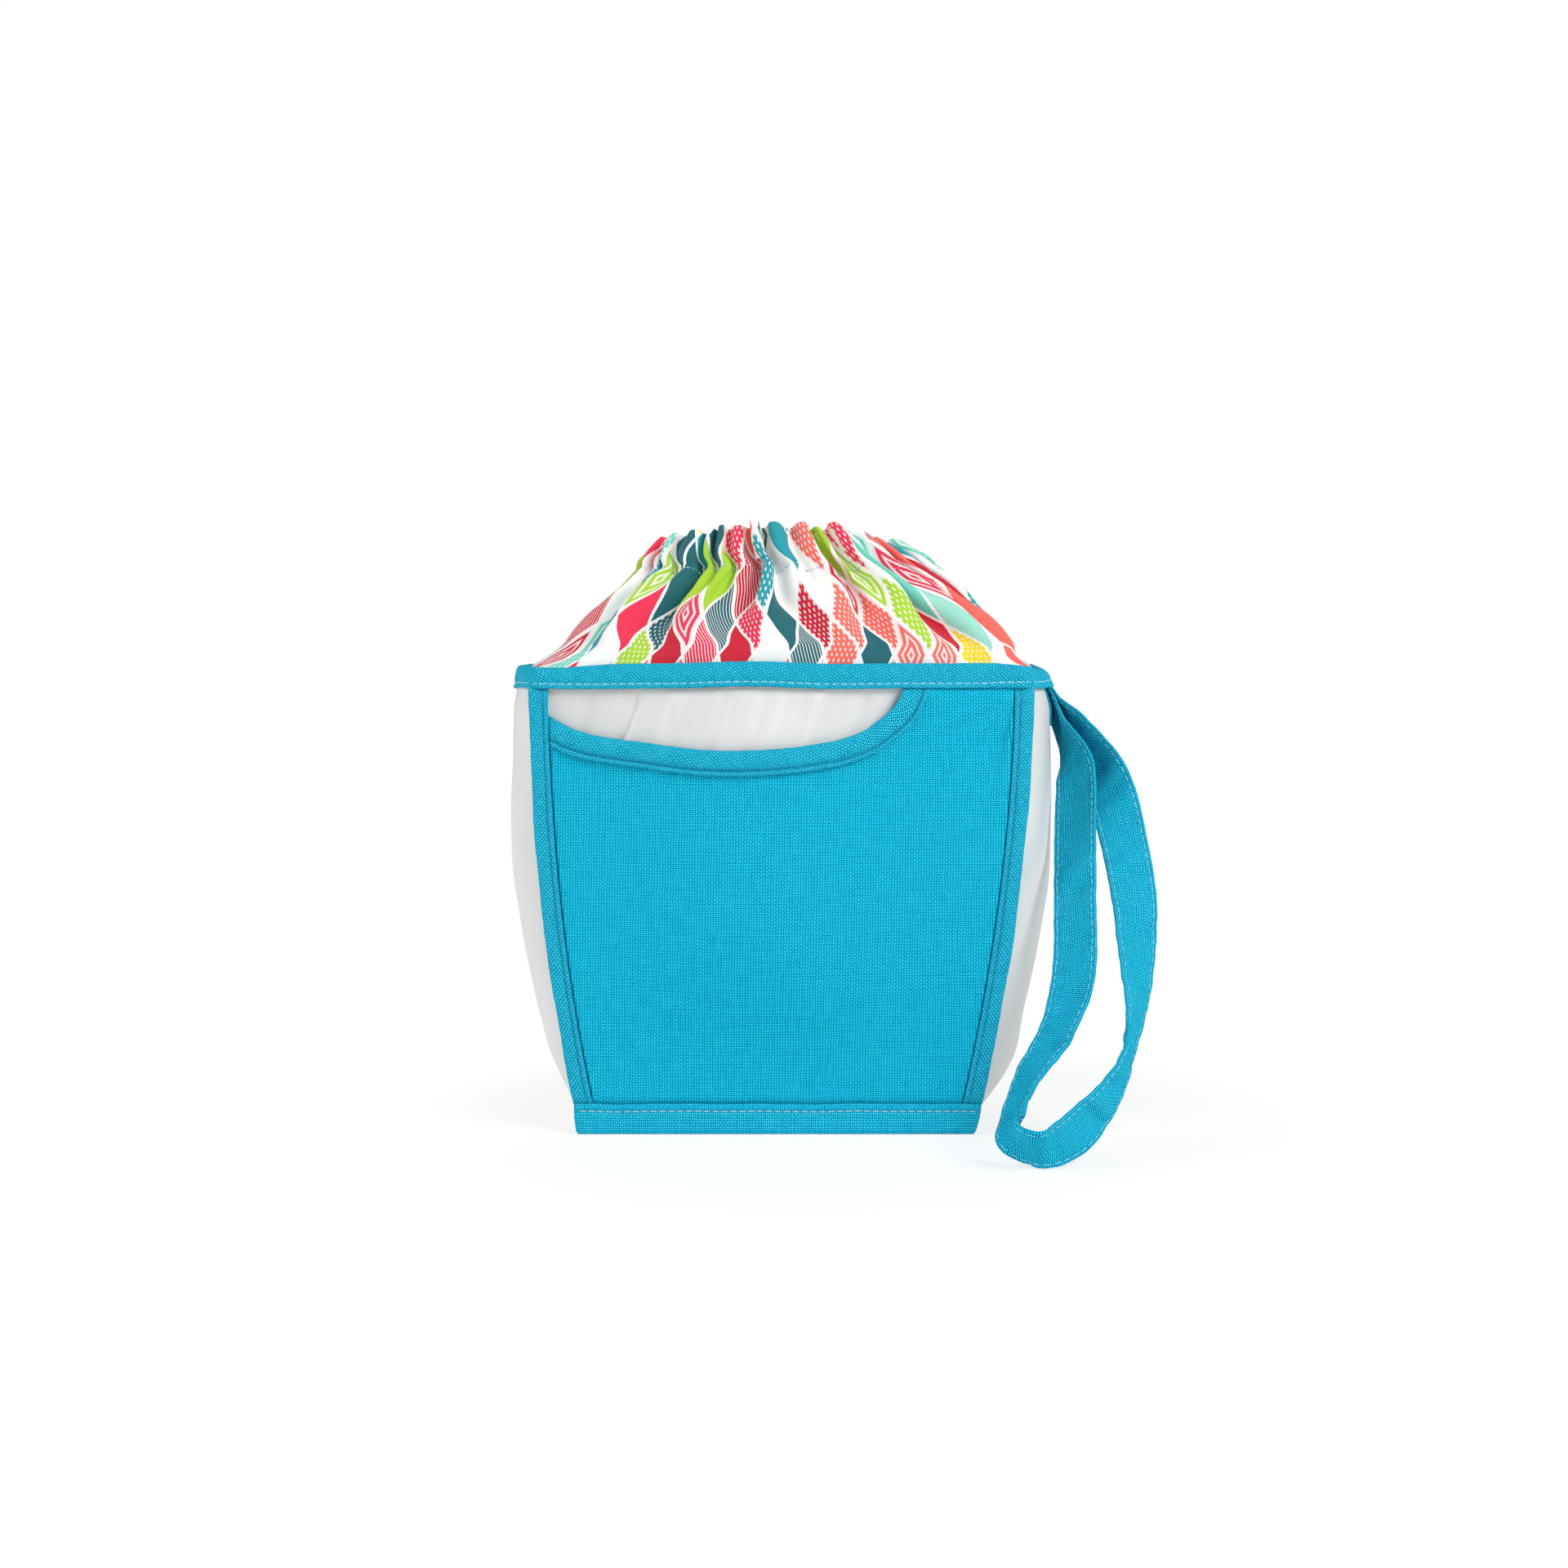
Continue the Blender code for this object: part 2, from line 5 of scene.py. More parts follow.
import bpy
import numpy as np
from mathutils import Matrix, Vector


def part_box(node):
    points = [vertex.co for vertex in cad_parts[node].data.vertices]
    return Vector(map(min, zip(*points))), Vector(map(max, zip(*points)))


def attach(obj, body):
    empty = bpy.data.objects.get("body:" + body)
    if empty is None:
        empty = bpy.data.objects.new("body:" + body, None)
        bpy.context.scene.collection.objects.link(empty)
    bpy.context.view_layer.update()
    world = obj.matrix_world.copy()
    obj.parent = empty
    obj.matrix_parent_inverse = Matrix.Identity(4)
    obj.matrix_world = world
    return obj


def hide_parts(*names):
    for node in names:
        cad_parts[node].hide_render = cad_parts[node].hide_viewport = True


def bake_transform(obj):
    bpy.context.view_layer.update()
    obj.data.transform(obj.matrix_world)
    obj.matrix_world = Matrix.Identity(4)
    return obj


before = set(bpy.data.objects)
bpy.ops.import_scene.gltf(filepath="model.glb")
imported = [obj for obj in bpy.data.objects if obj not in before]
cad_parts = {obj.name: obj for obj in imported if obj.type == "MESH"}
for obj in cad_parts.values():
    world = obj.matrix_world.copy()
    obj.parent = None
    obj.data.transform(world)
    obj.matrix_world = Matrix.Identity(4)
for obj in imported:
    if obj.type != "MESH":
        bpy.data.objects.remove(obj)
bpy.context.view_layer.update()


# Base: a flat panel of frosted vinyl that the bag stands on, cut to the plan of the bag and sewn in
# all round. The vinyl is soft PVC sheet with a fine matt grain rolled into it, so it looks milky.
VINYL = 0.0008
WALL_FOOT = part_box("front_panel")[0].z
WALL_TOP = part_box("front_panel")[1].z - 0.0025
BAND_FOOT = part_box("waist_binding")[0].z
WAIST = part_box("waist_binding")[1].z
SEAM_HALF_BASE = 0.0675
SEAM_HALF_WAIST = 0.0883
SIDE_HALF_BASE = 0.080
SIDE_HALF_WAIST = 0.1055
SEAM_DEPTH = 0.050
BASE_WELT = 0.0003
WELT_PLACE = 0.93
WELT_SPREAD = 0.02
BASE_DRIFT = 0.0014
LEFT_FLATTER = 0.0035
RIGHT_TUCK = 0.0020
WELD_REACH = 0.000004


def srgb(code):
    """Linear colour of an sRGB hex value."""
    channels = [int(code[i:i + 2], 16) / 255 for i in (1, 3, 5)]
    return [c / 12.92 if c <= 0.04045 else ((c + 0.055) / 1.055) ** 2.4 for c in channels] + [1.0]


def feed(made, inputs):
    """Gives a node its inputs, by order or name. Each is a value or another node's socket."""
    for key, value in (inputs.items() if isinstance(inputs, dict) else enumerate(inputs)):
        if isinstance(value, bpy.types.NodeSocket):
            made.id_data.links.new(value, made.inputs[key])
        elif value is not None:
            made.inputs[key].default_value = value


def node(tree, kind, inputs=(), **settings):
    """Adds a shader node with its settings and inputs, and gives back its first output."""
    made = tree.nodes.new("ShaderNode" + kind)
    for key, value in settings.items():
        setattr(made, key, value)
    feed(made, inputs)
    return made.outputs[0]


def new_material(name):
    """A new material, with its node tree and its main shader."""
    made = bpy.data.materials.new(name)
    made.use_nodes = True
    return made, made.node_tree, made.node_tree.nodes["Principled BSDF"]


def set_stops(bar, stops):
    """Sets the colours along a colour bar, given as (place, hex) stops."""
    while len(bar.elements) < len(stops):
        bar.elements.new(1.0)
    for element, (place, code) in zip(bar.elements, stops):
        element.position = place
        element.color = srgb(code)


def frosted_vinyl():
    """Frosted PVC sheet: milky and half see-through, with a satin grain that blurs what lies behind."""
    grain_size = 0.0007
    cloud_size = 0.035
    made, tree, shader = new_material("frosted PVC sheet")
    place = node(tree, "TexCoord").node.outputs["Object"]
    cloud = node(tree, "TexNoise", {"Vector": place, "Scale": 1 / cloud_size, "Detail": 2.0})
    grain = node(tree, "TexNoise", {"Vector": place, "Scale": 1 / grain_size, "Detail": 1.0})
    colour = node(tree, "ValToRGB", [cloud])
    set_stops(colour.node.color_ramp, [(0.3, "#dcdcda"), (0.7, "#e4e4e2")])
    satin = node(tree, "MapRange", {"Value": cloud, "To Min": 0.36, "To Max": 0.5})
    bump = node(tree, "Bump", {"Height": grain, "Strength": 0.12, "Distance": 0.0001})
    feed(shader, {"Base Color": colour, "Roughness": satin, "Normal": bump})
    feed(shader, {"Transmission Weight": 0.1, "IOR": 1.53})
    return made


def ease(value, start=0.0, run=1.0):
    """Smooth rise from 0 to 1, as a value goes from the start to the end of a run."""
    t = np.clip((value - start) / run, 0.0, 1.0)
    return t * t * (3.0 - 2.0 * t)


def seam_half(z):
    """Half width of the front and back between their side seams, at a height."""
    rise = 1.0 - (1.0 - np.clip(z / WAIST, 0.0, 1.0)) ** 2
    return SEAM_HALF_BASE + (SEAM_HALF_WAIST - SEAM_HALF_BASE) * rise


def side_half(z):
    """Half width of the bulging sides, at a height."""
    rise = 1.0 - (1.0 - np.clip(z / WAIST, 0.0, 1.0)) ** 4
    return SIDE_HALF_BASE + (SIDE_HALF_WAIST - SIDE_HALF_BASE) * rise


def cut_cloth(name, columns, rows):
    """A flat square of cloth with a grid to shape it by."""
    bpy.ops.object.select_all(action="DESELECT")
    bpy.ops.mesh.primitive_grid_add(x_subdivisions=columns, y_subdivisions=rows, size=1)
    cloth = bpy.context.object
    cloth.name = name
    cloth.data.name = name
    return cloth


def stand(points):
    """Points of the bag as it stands, its base a little to the left of its waist."""
    points = np.array(points, dtype=float)
    points[:, 0] -= BASE_DRIFT * (1 - ease(points[:, 2] / WAIST))
    return points


def drape(cloth, place):
    """Moves each point from its share of the width and length to its place in the bag. The cloth's own
    measure in metres, as it lay flat, becomes its UV map."""
    mesh = cloth.data
    flat = np.empty(len(mesh.vertices) * 3)
    mesh.vertices.foreach_get("co", flat)
    flat = flat.reshape(-1, 3) + 0.5
    spots, threads = place(flat[:, 0], flat[:, 1])
    mesh.vertices.foreach_set("co", stand(np.column_stack(spots)).ravel())
    corners = np.empty(len(mesh.loops), dtype=np.int32)
    mesh.loops.foreach_get("vertex_index", corners)
    mesh.uv_layers.active.data.foreach_set("uv", np.column_stack(threads)[corners].ravel())
    mesh.update()


def thicken(cloth, thickness):
    """Gives a draped sheet its thickness, half to each side. The back takes its last material."""
    solid = cloth.modifiers.new("Thickness", "SOLIDIFY")
    solid.thickness = thickness
    solid.offset = 0.0
    solid.use_quality_normals = True
    solid.material_offset = max(len(cloth.data.materials) - 1, 0)
    bpy.ops.object.modifier_apply(modifier=solid.name)
    bpy.ops.object.mode_set(mode="EDIT")
    bpy.ops.mesh.select_all(action="SELECT")
    bpy.ops.mesh.normals_make_consistent(inside=False)
    bpy.ops.object.mode_set(mode="OBJECT")
    bpy.ops.object.shade_smooth_by_angle(angle=math.radians(50))


def make_sheet(name, columns, rows, place, thickness, *materials, ring=False):
    """A sheet cut flat and draped in its place. Where it is a ring, its two ends are joined."""
    cloth = cut_cloth(name, columns, rows)
    drape(cloth, place)
    if ring:
        bpy.ops.object.mode_set(mode="EDIT")
        bpy.ops.mesh.select_all(action="SELECT")
        bpy.ops.mesh.remove_doubles(threshold=WELD_REACH)
        bpy.ops.object.mode_set(mode="OBJECT")
    for material in materials:
        cloth.data.materials.append(material)
    thicken(cloth, thickness)
    return cloth


def set_on_bag(piece, cad_node=None):
    """Ties a piece to the bag's body, and hides the CAD node it takes the place of, if it has one."""
    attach(piece, "bag")
    if cad_node:
        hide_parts(cad_node)


def base_place(u, w):
    """Place of the base: flat, with a low welt where it is sewn in."""
    across = 2 * u - 1
    along = 2 * w - 1
    bulge = SIDE_HALF_BASE - SEAM_HALF_BASE - np.where(across < 0, LEFT_FLATTER, RIGHT_TUCK)
    x = across * (SEAM_HALF_BASE + bulge * np.sqrt(np.maximum(1 - along ** 2, 0)))
    y = along * (SEAM_DEPTH + VINYL / 2)
    edge = np.maximum(np.abs(across), np.abs(along))
    z = VINYL / 2 + BASE_WELT * np.exp(-((edge - WELT_PLACE) / WELT_SPREAD) ** 2)
    return (x, y, z), (x, y)


vinyl = frosted_vinyl()
base = make_sheet("base_vinyl", 48, 36, base_place, VINYL, vinyl)
set_on_bag(base, "base_panel")


# Walls: front and back panels and two bulging side gussets of the same vinyl, sewn edge to edge. The
# seams pull soft ripples into them, and each gusset keeps a faint crease from lying folded flat.
# A span is where something starts to rise and over what run, and a wave is its height and length.
FRONT_BOW = 0.005
BOW_SPAN = (0.0116, 0.070)
SEAM_GAP = 0.00015
LEAN_RIGHT = 0.0045
LEAN_LEFT = 0.0024
LEAN_START = BAND_FOOT - 0.010
GUSSET_WAVE = (0.0010, 0.055)
GUSSET_PATCH = 0.03
GRIP_LAP = 0.001
GRIP_FADE = 0.007
STREAK_DEPTH = 0.0009
STREAK_SPACING = 0.013
STREAK_SLANT = 0.25
STREAK_SPAN = (0.09, 0.06)
FRONT_BELLY = 0.0063
BACK_BELLY = 0.0045
BELLY_SPAN = (0.06, 0.06)
BELLY_EDGE = 0.006
BELLY_ROUND = 0.024
FRONT_CREASE = 0.0022
CREASE_X = -0.0535
CREASE_WIDTH = 0.0016
CREASE_SWING = 0.0052
CREASE_DROP = 0.018
CREASE_SPAN = (0.125, 0.015)
GUSSET_CREASE = 0.0011
GUSSET_CREASE_WIDTH = 0.0035
GUSSET_CREASE_SWAY = 0.004
GUSSET_SLACK = 0.0055
GUSSET_TOP_SPAN = (0.012, 0.02)
GUSSET_FOOT_SPAN = (0.004, 0.03)
LEFT_FLAT_HEIGHT = 0.075
# Where each gusset swells out or is tucked in: height, reach up and down, and amount
RIGHT_SWELLS = ((0.105, 0.038, 0.0022), (0.024, 0.010, 0.0024), (0.005, 0.0065, -0.0036))
LEFT_SWELLS = ((0.105, 0.038, 0.0015), (0.060, 0.018, -0.0018), (0.025, 0.008, 0.0012))
FRONT_SLACK_CENTRE = -0.016
SLACK_HALF = 0.068


def ripple(distance, wavelength, seed):
    """Soft uneven waves along a distance, between about -1 and 1, the same on every run."""
    phases = np.random.default_rng(seed).uniform(0, 2 * math.pi, 3)
    total = 0.0
    for stretch, share, phase in zip((1.0, 0.57, 1.83), (0.5, 0.25, 0.35), phases):
        total = total + share * np.sin(2 * math.pi * distance / (wavelength * stretch) + phase)
    return total


def wave(distance, shape, seed):
    """A ripple with its height and length given as a shape."""
    height, length = shape
    return height * ripple(distance, length, seed)


def face_depth(x, z):
    """Depth of the front or back face, which bows out a little above the base."""
    across = np.clip(x / seam_half(z), -1.0, 1.0)
    bow = FRONT_BOW * ease(z, *BOW_SPAN)
    return SEAM_DEPTH + bow * (1.0 + np.cos(math.pi * across)) / 2


def lean(x, z):
    """Sideways shift of the sides where the waist band draws them in towards its top."""
    share = np.clip((np.abs(x) - seam_half(z)) / (side_half(z) - seam_half(z)), 0.0, 1.0)
    most = np.where(x > 0, LEAN_RIGHT, LEAN_LEFT)
    return -np.sign(x) * most * share * ease(z, LEAN_START, WAIST - LEAN_START)


def slackness(x, centre):
    """How loosely a face hangs across its width: 1 at the centre of the slack, 0 towards the seams."""
    across = np.clip((x - centre) / SLACK_HALF, -1.0, 1.0)
    return np.cos(math.pi / 2 * across) ** 2


def face_place(side, crease_depth, slack_centre, belly):
    """Place of the front or back wall: it bellies out where it is slack, with streaks and a crease."""
    def place(u, w):
        z = WALL_FOOT + (WALL_TOP - WALL_FOOT) * w
        across = 2 * u - 1
        x = across * (seam_half(z) - SEAM_GAP)
        below = BAND_FOOT + GRIP_LAP - z
        free = (1 - across ** 6) * ease(below / GRIP_FADE)
        streaks = STREAK_DEPTH * (1 + ripple(x - STREAK_SLANT * z, STREAK_SPACING, 5 + side))
        streaks = streaks * ease(z, *STREAK_SPAN)
        crease_line = CREASE_X - CREASE_SWING * (np.maximum(BAND_FOOT - z, 0) / CREASE_DROP) ** 1.6
        crease = crease_depth * np.exp(-((x - crease_line) / CREASE_WIDTH) ** 2)
        crease = crease * ease(z, *CREASE_SPAN)
        full = 0.35 * ease(below / BELLY_EDGE) + 0.65 * ease(below / BELLY_ROUND)
        full = full * ease(z, *BELLY_SPAN) * slackness(x, slack_centre)
        y = side * (face_depth(x, z) + belly * full - free * (streaks + crease))
        return (x, y, z), (x, z)
    return place


def gusset_place(side, seed, swells):
    """Place of a side wall: it bulges out, ripples between its seams and swells where it is told."""
    def place(u, w):
        z = WALL_FOOT + (WALL_TOP - WALL_FOOT) * w
        bulge = side_half(z) - seam_half(z)
        turn = (2 * u - 1) * (math.pi / 2 - SEAM_GAP / bulge)
        normal_x = np.cos(turn) / bulge
        normal_y = np.sin(turn) / SEAM_DEPTH
        length = np.hypot(normal_x, normal_y)
        y = SEAM_DEPTH * np.sin(turn)
        free = np.cos(turn) * ease(BAND_FOOT - z, *GUSSET_TOP_SPAN) * ease(z, *GUSSET_FOOT_SPAN)
        waves = wave(z + 0.6 * y, GUSSET_WAVE, seed) * (0.6 + 0.4 * ripple(y, GUSSET_PATCH, seed + 1))
        crease_line = GUSSET_CREASE_SWAY * (1 + np.sin(z * 40 + seed))
        crease = GUSSET_CREASE * np.exp(-np.abs(y - crease_line) / GUSSET_CREASE_WIDTH)
        swell = sum(amount * np.exp(-((z - height) / reach) ** 2) for height, reach, amount in swells)
        if side < 0:
            swell = swell - LEFT_FLATTER * (1 - ease(z / LEFT_FLAT_HEIGHT))
        out = free * (waves - crease) + swell * np.cos(turn)
        x = seam_half(z) + bulge * np.cos(turn) + out * normal_x / length
        y = y + out * normal_y / length
        x = side * x
        return (x + lean(x, z), y, z), (y, z)
    return place


heights = np.linspace(WALL_FOOT, WALL_TOP, 50)
face_flat = (2 * SEAM_HALF_WAIST, WALL_TOP - WALL_FOOT)
face_area = float(2 * np.mean(seam_half(heights)) * face_flat[1])
side_flat = (2 * (SEAM_DEPTH + GUSSET_SLACK), face_flat[1])
front_place = face_place(-1, FRONT_CREASE, FRONT_SLACK_CENTRE, FRONT_BELLY)
for name, cad_node, place, flat, area in (
    ("front_vinyl", "front_panel", front_place, face_flat, face_area),
    ("back_vinyl", "back_panel", face_place(1, 0.0, 0.0, BACK_BELLY), face_flat, face_area),
    ("right_side_vinyl", "right_gusset", gusset_place(1, 21, RIGHT_SWELLS), side_flat, None),
    ("left_side_vinyl", "left_gusset", gusset_place(-1, 33, LEFT_SWELLS), side_flat, None),
):
    wall = make_sheet(name, 210, 90, place, VINYL, vinyl)
    set_on_bag(wall, cad_node)


# Pocket: one piece of sky-blue cotton canvas over most of the front, caught under the tapes at its sides
# and base. It hangs slack below a slanting mouth, and draws soft folds from its upper right corner.
CANVAS = 0.0009
WARP_PITCH = 0.0010
WEFT_PITCH = 0.00069
CLEAR = 0.0003
BASE_TAPE_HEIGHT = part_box("front_base_binding")[1].z
POCKET_STAND = 0.00155
POCKET_GAPE = 0.0062
POCKET_GAPE_RISE = 0.070
UNDER_TAPE = 0.0010
TUCKED_EDGE = 0.0005
SIDE_TUCK_SPAN = (-0.0021, 0.0013)
FOOT_TUCK_SPAN = (-0.0022, 0.0028)
BAND_TUCK_SPAN = (-0.0022, 0.0022)
POCKET_LAP = 0.0015
BAND_LAP = 0.004
POCKET_FOLD = 0.0010
FOLD_CORNER = (0.088, 0.165)
FOLD_START = 0.02
FOLD_REACH = 0.075
FOLD_FAN = 0.35
SAG_WIDTH = 0.07
SAG_HEIGHT = 0.09
EDGE_CROWDING = 0.35
MOUTH_EDGE_DROP = 0.0018
# Points of the mouth line: distance to the right of the centre, and drop below the waist band
MOUTH_LINE = (
    (-0.092, 0.0068), (-0.086, 0.0108), (-0.074, 0.0164), (-0.050, 0.0201),
    (-0.026, 0.0227), (-0.002, 0.0222), (0.018, 0.0196), (0.0290, 0.0164),
    (0.0345, 0.0130), (0.0400, 0.0086), (0.0431, 0.0049), (0.0452, 0.0000),
    (0.0468, -0.0050), (0.0482, -0.0098),
)


def woven_canvas(name, shades, turn, crown=0.4):
    """Plain-weave cotton canvas: thick threads that pass over and under each other, each dyed a little
    unevenly so it looks grainy, with painted shade in the gaps between the threads and painted highlights
    on their crowns. Tape cut on the bias is turned."""
    slubs_per_metre = 180.0
    wander_reach = (0.0008, 0.0007, 0)
    thread_height = 0.00022
    made, tree, shader = new_material(name)
    flat = node(tree, "TexCoord").node.outputs["UV"]
    turned = node(tree, "VectorRotate", {"Vector": flat, "Angle": turn}, rotation_type="Z_AXIS")
    slub = node(tree, "TexNoise", {
        "Vector": turned, "Scale": slubs_per_metre, "Detail": 4.0, "Roughness": 0.65,
    }).node.outputs["Color"]
    wander = node(tree, "VectorMath", [slub, wander_reach], operation="MULTIPLY")
    moved = node(tree, "VectorMath", [turned, wander], operation="ADD")
    threads = node(tree, "VectorMath", [moved, (1 / WARP_PITCH, 1 / WEFT_PITCH, 0)], operation="MULTIPLY")
    warp_on_top = node(tree, "TexChecker", {"Vector": threads, "Scale": 1.0}).node.outputs["Fac"]
    split = node(tree, "SeparateXYZ", [threads]).node
    rounds = []
    for socket in split.outputs[:2]:
        half = node(tree, "Math", [socket, 0.5], operation="PINGPONG")
        rounds.append(node(tree, "Math", [half, 2.0], operation="MULTIPLY"))
    floats = []
    for across, along, lift in ((0, 1, crown), (1, 0, -crown)):
        rising = node(tree, "MapRange", {"Value": warp_on_top, "To Min": -lift, "To Max": lift})
        arch = node(tree, "Math", [rounds[along], math.pi / 2], operation="MULTIPLY")
        arch = node(tree, "Math", [arch], operation="SINE")
        arch = node(tree, "Math", [arch, rising], operation="MULTIPLY")
        thread = node(tree, "Math", [rounds[across], 0.6], operation="POWER")
        floats.append(node(tree, "Math", [thread, 0.6, arch], operation="MULTIPLY_ADD"))
    height = node(tree, "Math", floats, operation="MAXIMUM")
    streaks = []
    for stretch in ((1.0, 0.10, 0), (0.10, 1.0, 0)):
        along = node(tree, "VectorMath", [threads, stretch], operation="MULTIPLY")
        streaks.append(node(tree, "TexNoise", {"Vector": along, "Scale": 0.9, "Detail": 1.0}))
    dye = node(tree, "Mix", [warp_on_top, None, streaks[1], streaks[0]])
    dye = node(tree, "MapRange", {"Value": dye, "From Min": 0.3, "From Max": 0.7})
    # Painted light and shade: the colour darkens in the gaps between threads and lightens on their crowns,
    # following the weave's relief. Random dye streaks are mixed in.
    dye_and_painted_shade = -0.05
    for part, share in ((warp_on_top, 0.12), (height, 0.72), (dye, 0.12), (rounds[1], 0.28)):
        dye_and_painted_shade = node(tree, "Math", [part, share, dye_and_painted_shade], operation="MULTIPLY_ADD")
    colour = node(tree, "ValToRGB", [dye_and_painted_shade])
    set_stops(colour.node.color_ramp, list(zip((0.34, 0.76, 1.0), shades)))
    matt = node(tree, "MapRange", {"Value": height, "To Min": 0.95, "To Max": 0.75})
    relief = node(tree, "Math", [dye, 0.4, height], operation="MULTIPLY_ADD")
    bump = node(tree, "Bump", {"Height": relief, "Strength": 0.75, "Distance": thread_height})
    feed(shader, {"Base Color": colour, "Roughness": matt, "Normal": bump, "Specular IOR Level": 0.03})
    return made


def smooth_curve(knots, values, at):
    """Values along a smooth curve that passes through the given ones at their knots."""
    knots = np.asarray(knots, dtype=float)
    values = np.asarray(values, dtype=float).reshape(len(knots), -1)
    before = np.maximum(np.arange(len(knots)) - 1, 0)
    after = np.minimum(np.arange(len(knots)) + 1, len(knots) - 1)
    slopes = (values[after] - values[before]) / (knots[after] - knots[before])[:, None]
    i = np.clip(np.searchsorted(knots, at) - 1, 0, len(knots) - 2)
    span = (knots[i + 1] - knots[i])[:, None]
    t = (np.clip(at, knots[0], knots[-1]) - knots[i])[:, None] / span
    near = values[i] * (1 + 2 * t) * (1 - t) ** 2 + values[i + 1] * t * t * (3 - 2 * t)
    return near + span * (slopes[i] * t * (1 - t) ** 2 - slopes[i + 1] * t * t * (1 - t))


def mouth_height(x):
    """Height of the mouth tape's folded edge."""
    sides, drops = zip(*MOUTH_LINE)
    return BAND_FOOT - smooth_curve(sides, drops, x)[:, 0]


def mouth_slope(x):
    """Slope of the mouth line."""
    step = 0.0005
    return (mouth_height(x + step) - mouth_height(x - step)) / (2 * step)


def canvas_top(x):
    """Height of the canvas's upper edge, inside the mouth tape or under the waist band."""
    inside_tape = mouth_height(x) - MOUTH_EDGE_DROP * np.sqrt(1 + mouth_slope(x) ** 2)
    return np.minimum(inside_tape, BAND_FOOT + BAND_LAP)


def tucked(x, z):
    """How far the canvas is pressed down under the tapes: 0 free, 1 flat against the wall."""
    side = ease(np.abs(x) - seam_half(z), *SIDE_TUCK_SPAN)
    foot = ease(BASE_TAPE_HEIGHT - z, *FOOT_TUCK_SPAN)
    band = ease(z - BAND_FOOT, *BAND_TUCK_SPAN)
    return np.maximum(np.maximum(side, foot), band)


def pocket_depth(x, z):
    """Depth of the middle of the canvas, from the centre of the bag."""
    slack = slackness(x, FRONT_SLACK_CENTRE) * ease(z, BASE_TAPE_HEIGHT, POCKET_GAPE_RISE)
    free = VINYL / 2 + POCKET_STAND + POCKET_GAPE * slack + CANVAS / 2
    pressed = tucked(x, z)
    return face_depth(x, z) + free * (1 - pressed) + UNDER_TAPE * pressed


def pocket_place(u, w):
    """Place of the pocket: slack below its mouth, with folds that fan out from its upper right corner."""
    across = 2 * u - 1
    across = across * (1 + EDGE_CROWDING - EDGE_CROWDING * across ** 2)
    top = canvas_top(across * (seam_half(BAND_FOOT) + TUCKED_EDGE))
    foot = BASE_TAPE_HEIGHT - POCKET_LAP
    z = foot + (top - foot) * w
    x = across * (seam_half(z) + TUCKED_EDGE)
    from_corner = np.hypot(x - FOLD_CORNER[0], z - FOLD_CORNER[1])
    bearing = np.arctan2(FOLD_CORNER[1] - z, FOLD_CORNER[0] - x)
    fan = ease(from_corner / FOLD_START) * (1 - ease(from_corner / FOLD_REACH))
    pulls = ripple(bearing, FOLD_FAN, 3) * fan
    sag = ripple(x + 0.3 * z, SAG_WIDTH, 4) * ripple(z, SAG_HEIGHT, 6)
    fold = POCKET_FOLD * (pulls + 0.5 * sag) * (1 - tucked(x, z))
    return (x, -(pocket_depth(x, z) + fold), z), (x, z)


sky_canvas = woven_canvas("plain-weave cotton canvas", ("#007292", "#00b0d4", "#3cdcf6"), 0.0)
pocket = make_sheet("canvas_pocket", 250, 120, pocket_place, CANVAS, sky_canvas)
set_on_bag(pocket, "front_pocket")


# Mouth binding: canvas tape cut on the bias and folded over the pocket's mouth, deeper in front than
# behind. One row of stitches near its lower edge sinks a groove and leaves a rounded bead below.
STITCH_PITCH = 0.0033
STITCH_LENGTH = 0.0028
STITCH_WIDTH = 0.00052
STITCH_HEIGHT = 0.00042
STITCH_RISE = 0.001
MOUTH_START = -(SEAM_HALF_WAIST + 0.0005)
MOUTH_END = 0.0474
MOUTH_GROOVE = (0.0011, 0.0075)
MOUTH_SEAM_MARGIN = 0.004
UNDER_BAND = 0.005
MOUTH_PRESSED = 0.8
MOUTH_PUCKER = (0.00012, 0.007)
# Section of the folded tape: distance in front of the canvas, and drop below the folded edge
MOUTH_SECTION = (
    (0.0007, 0.0096), (0.0017, 0.0096), (0.0024, 0.0090), (0.0022, 0.0081),
    (0.0003, 0.0076), (0.0020, 0.0070), (0.0023, 0.0050), (0.0021, 0.0026),
    (0.0017, 0.0009), (0.0007, 0.0000), (-0.0007, 0.0000), (-0.0016, 0.0009),
    (-0.0017, 0.0030), (-0.0017, 0.0054), (-0.0009, 0.0055), (-0.0008, 0.0030),
    (-0.0006, 0.0015), (0.0006, 0.0015), (0.0008, 0.0030), (0.0007, 0.0070),
)


def running(steps):
    """Running total of the steps, from 0."""
    return np.concatenate([[0.0], np.cumsum(steps)])


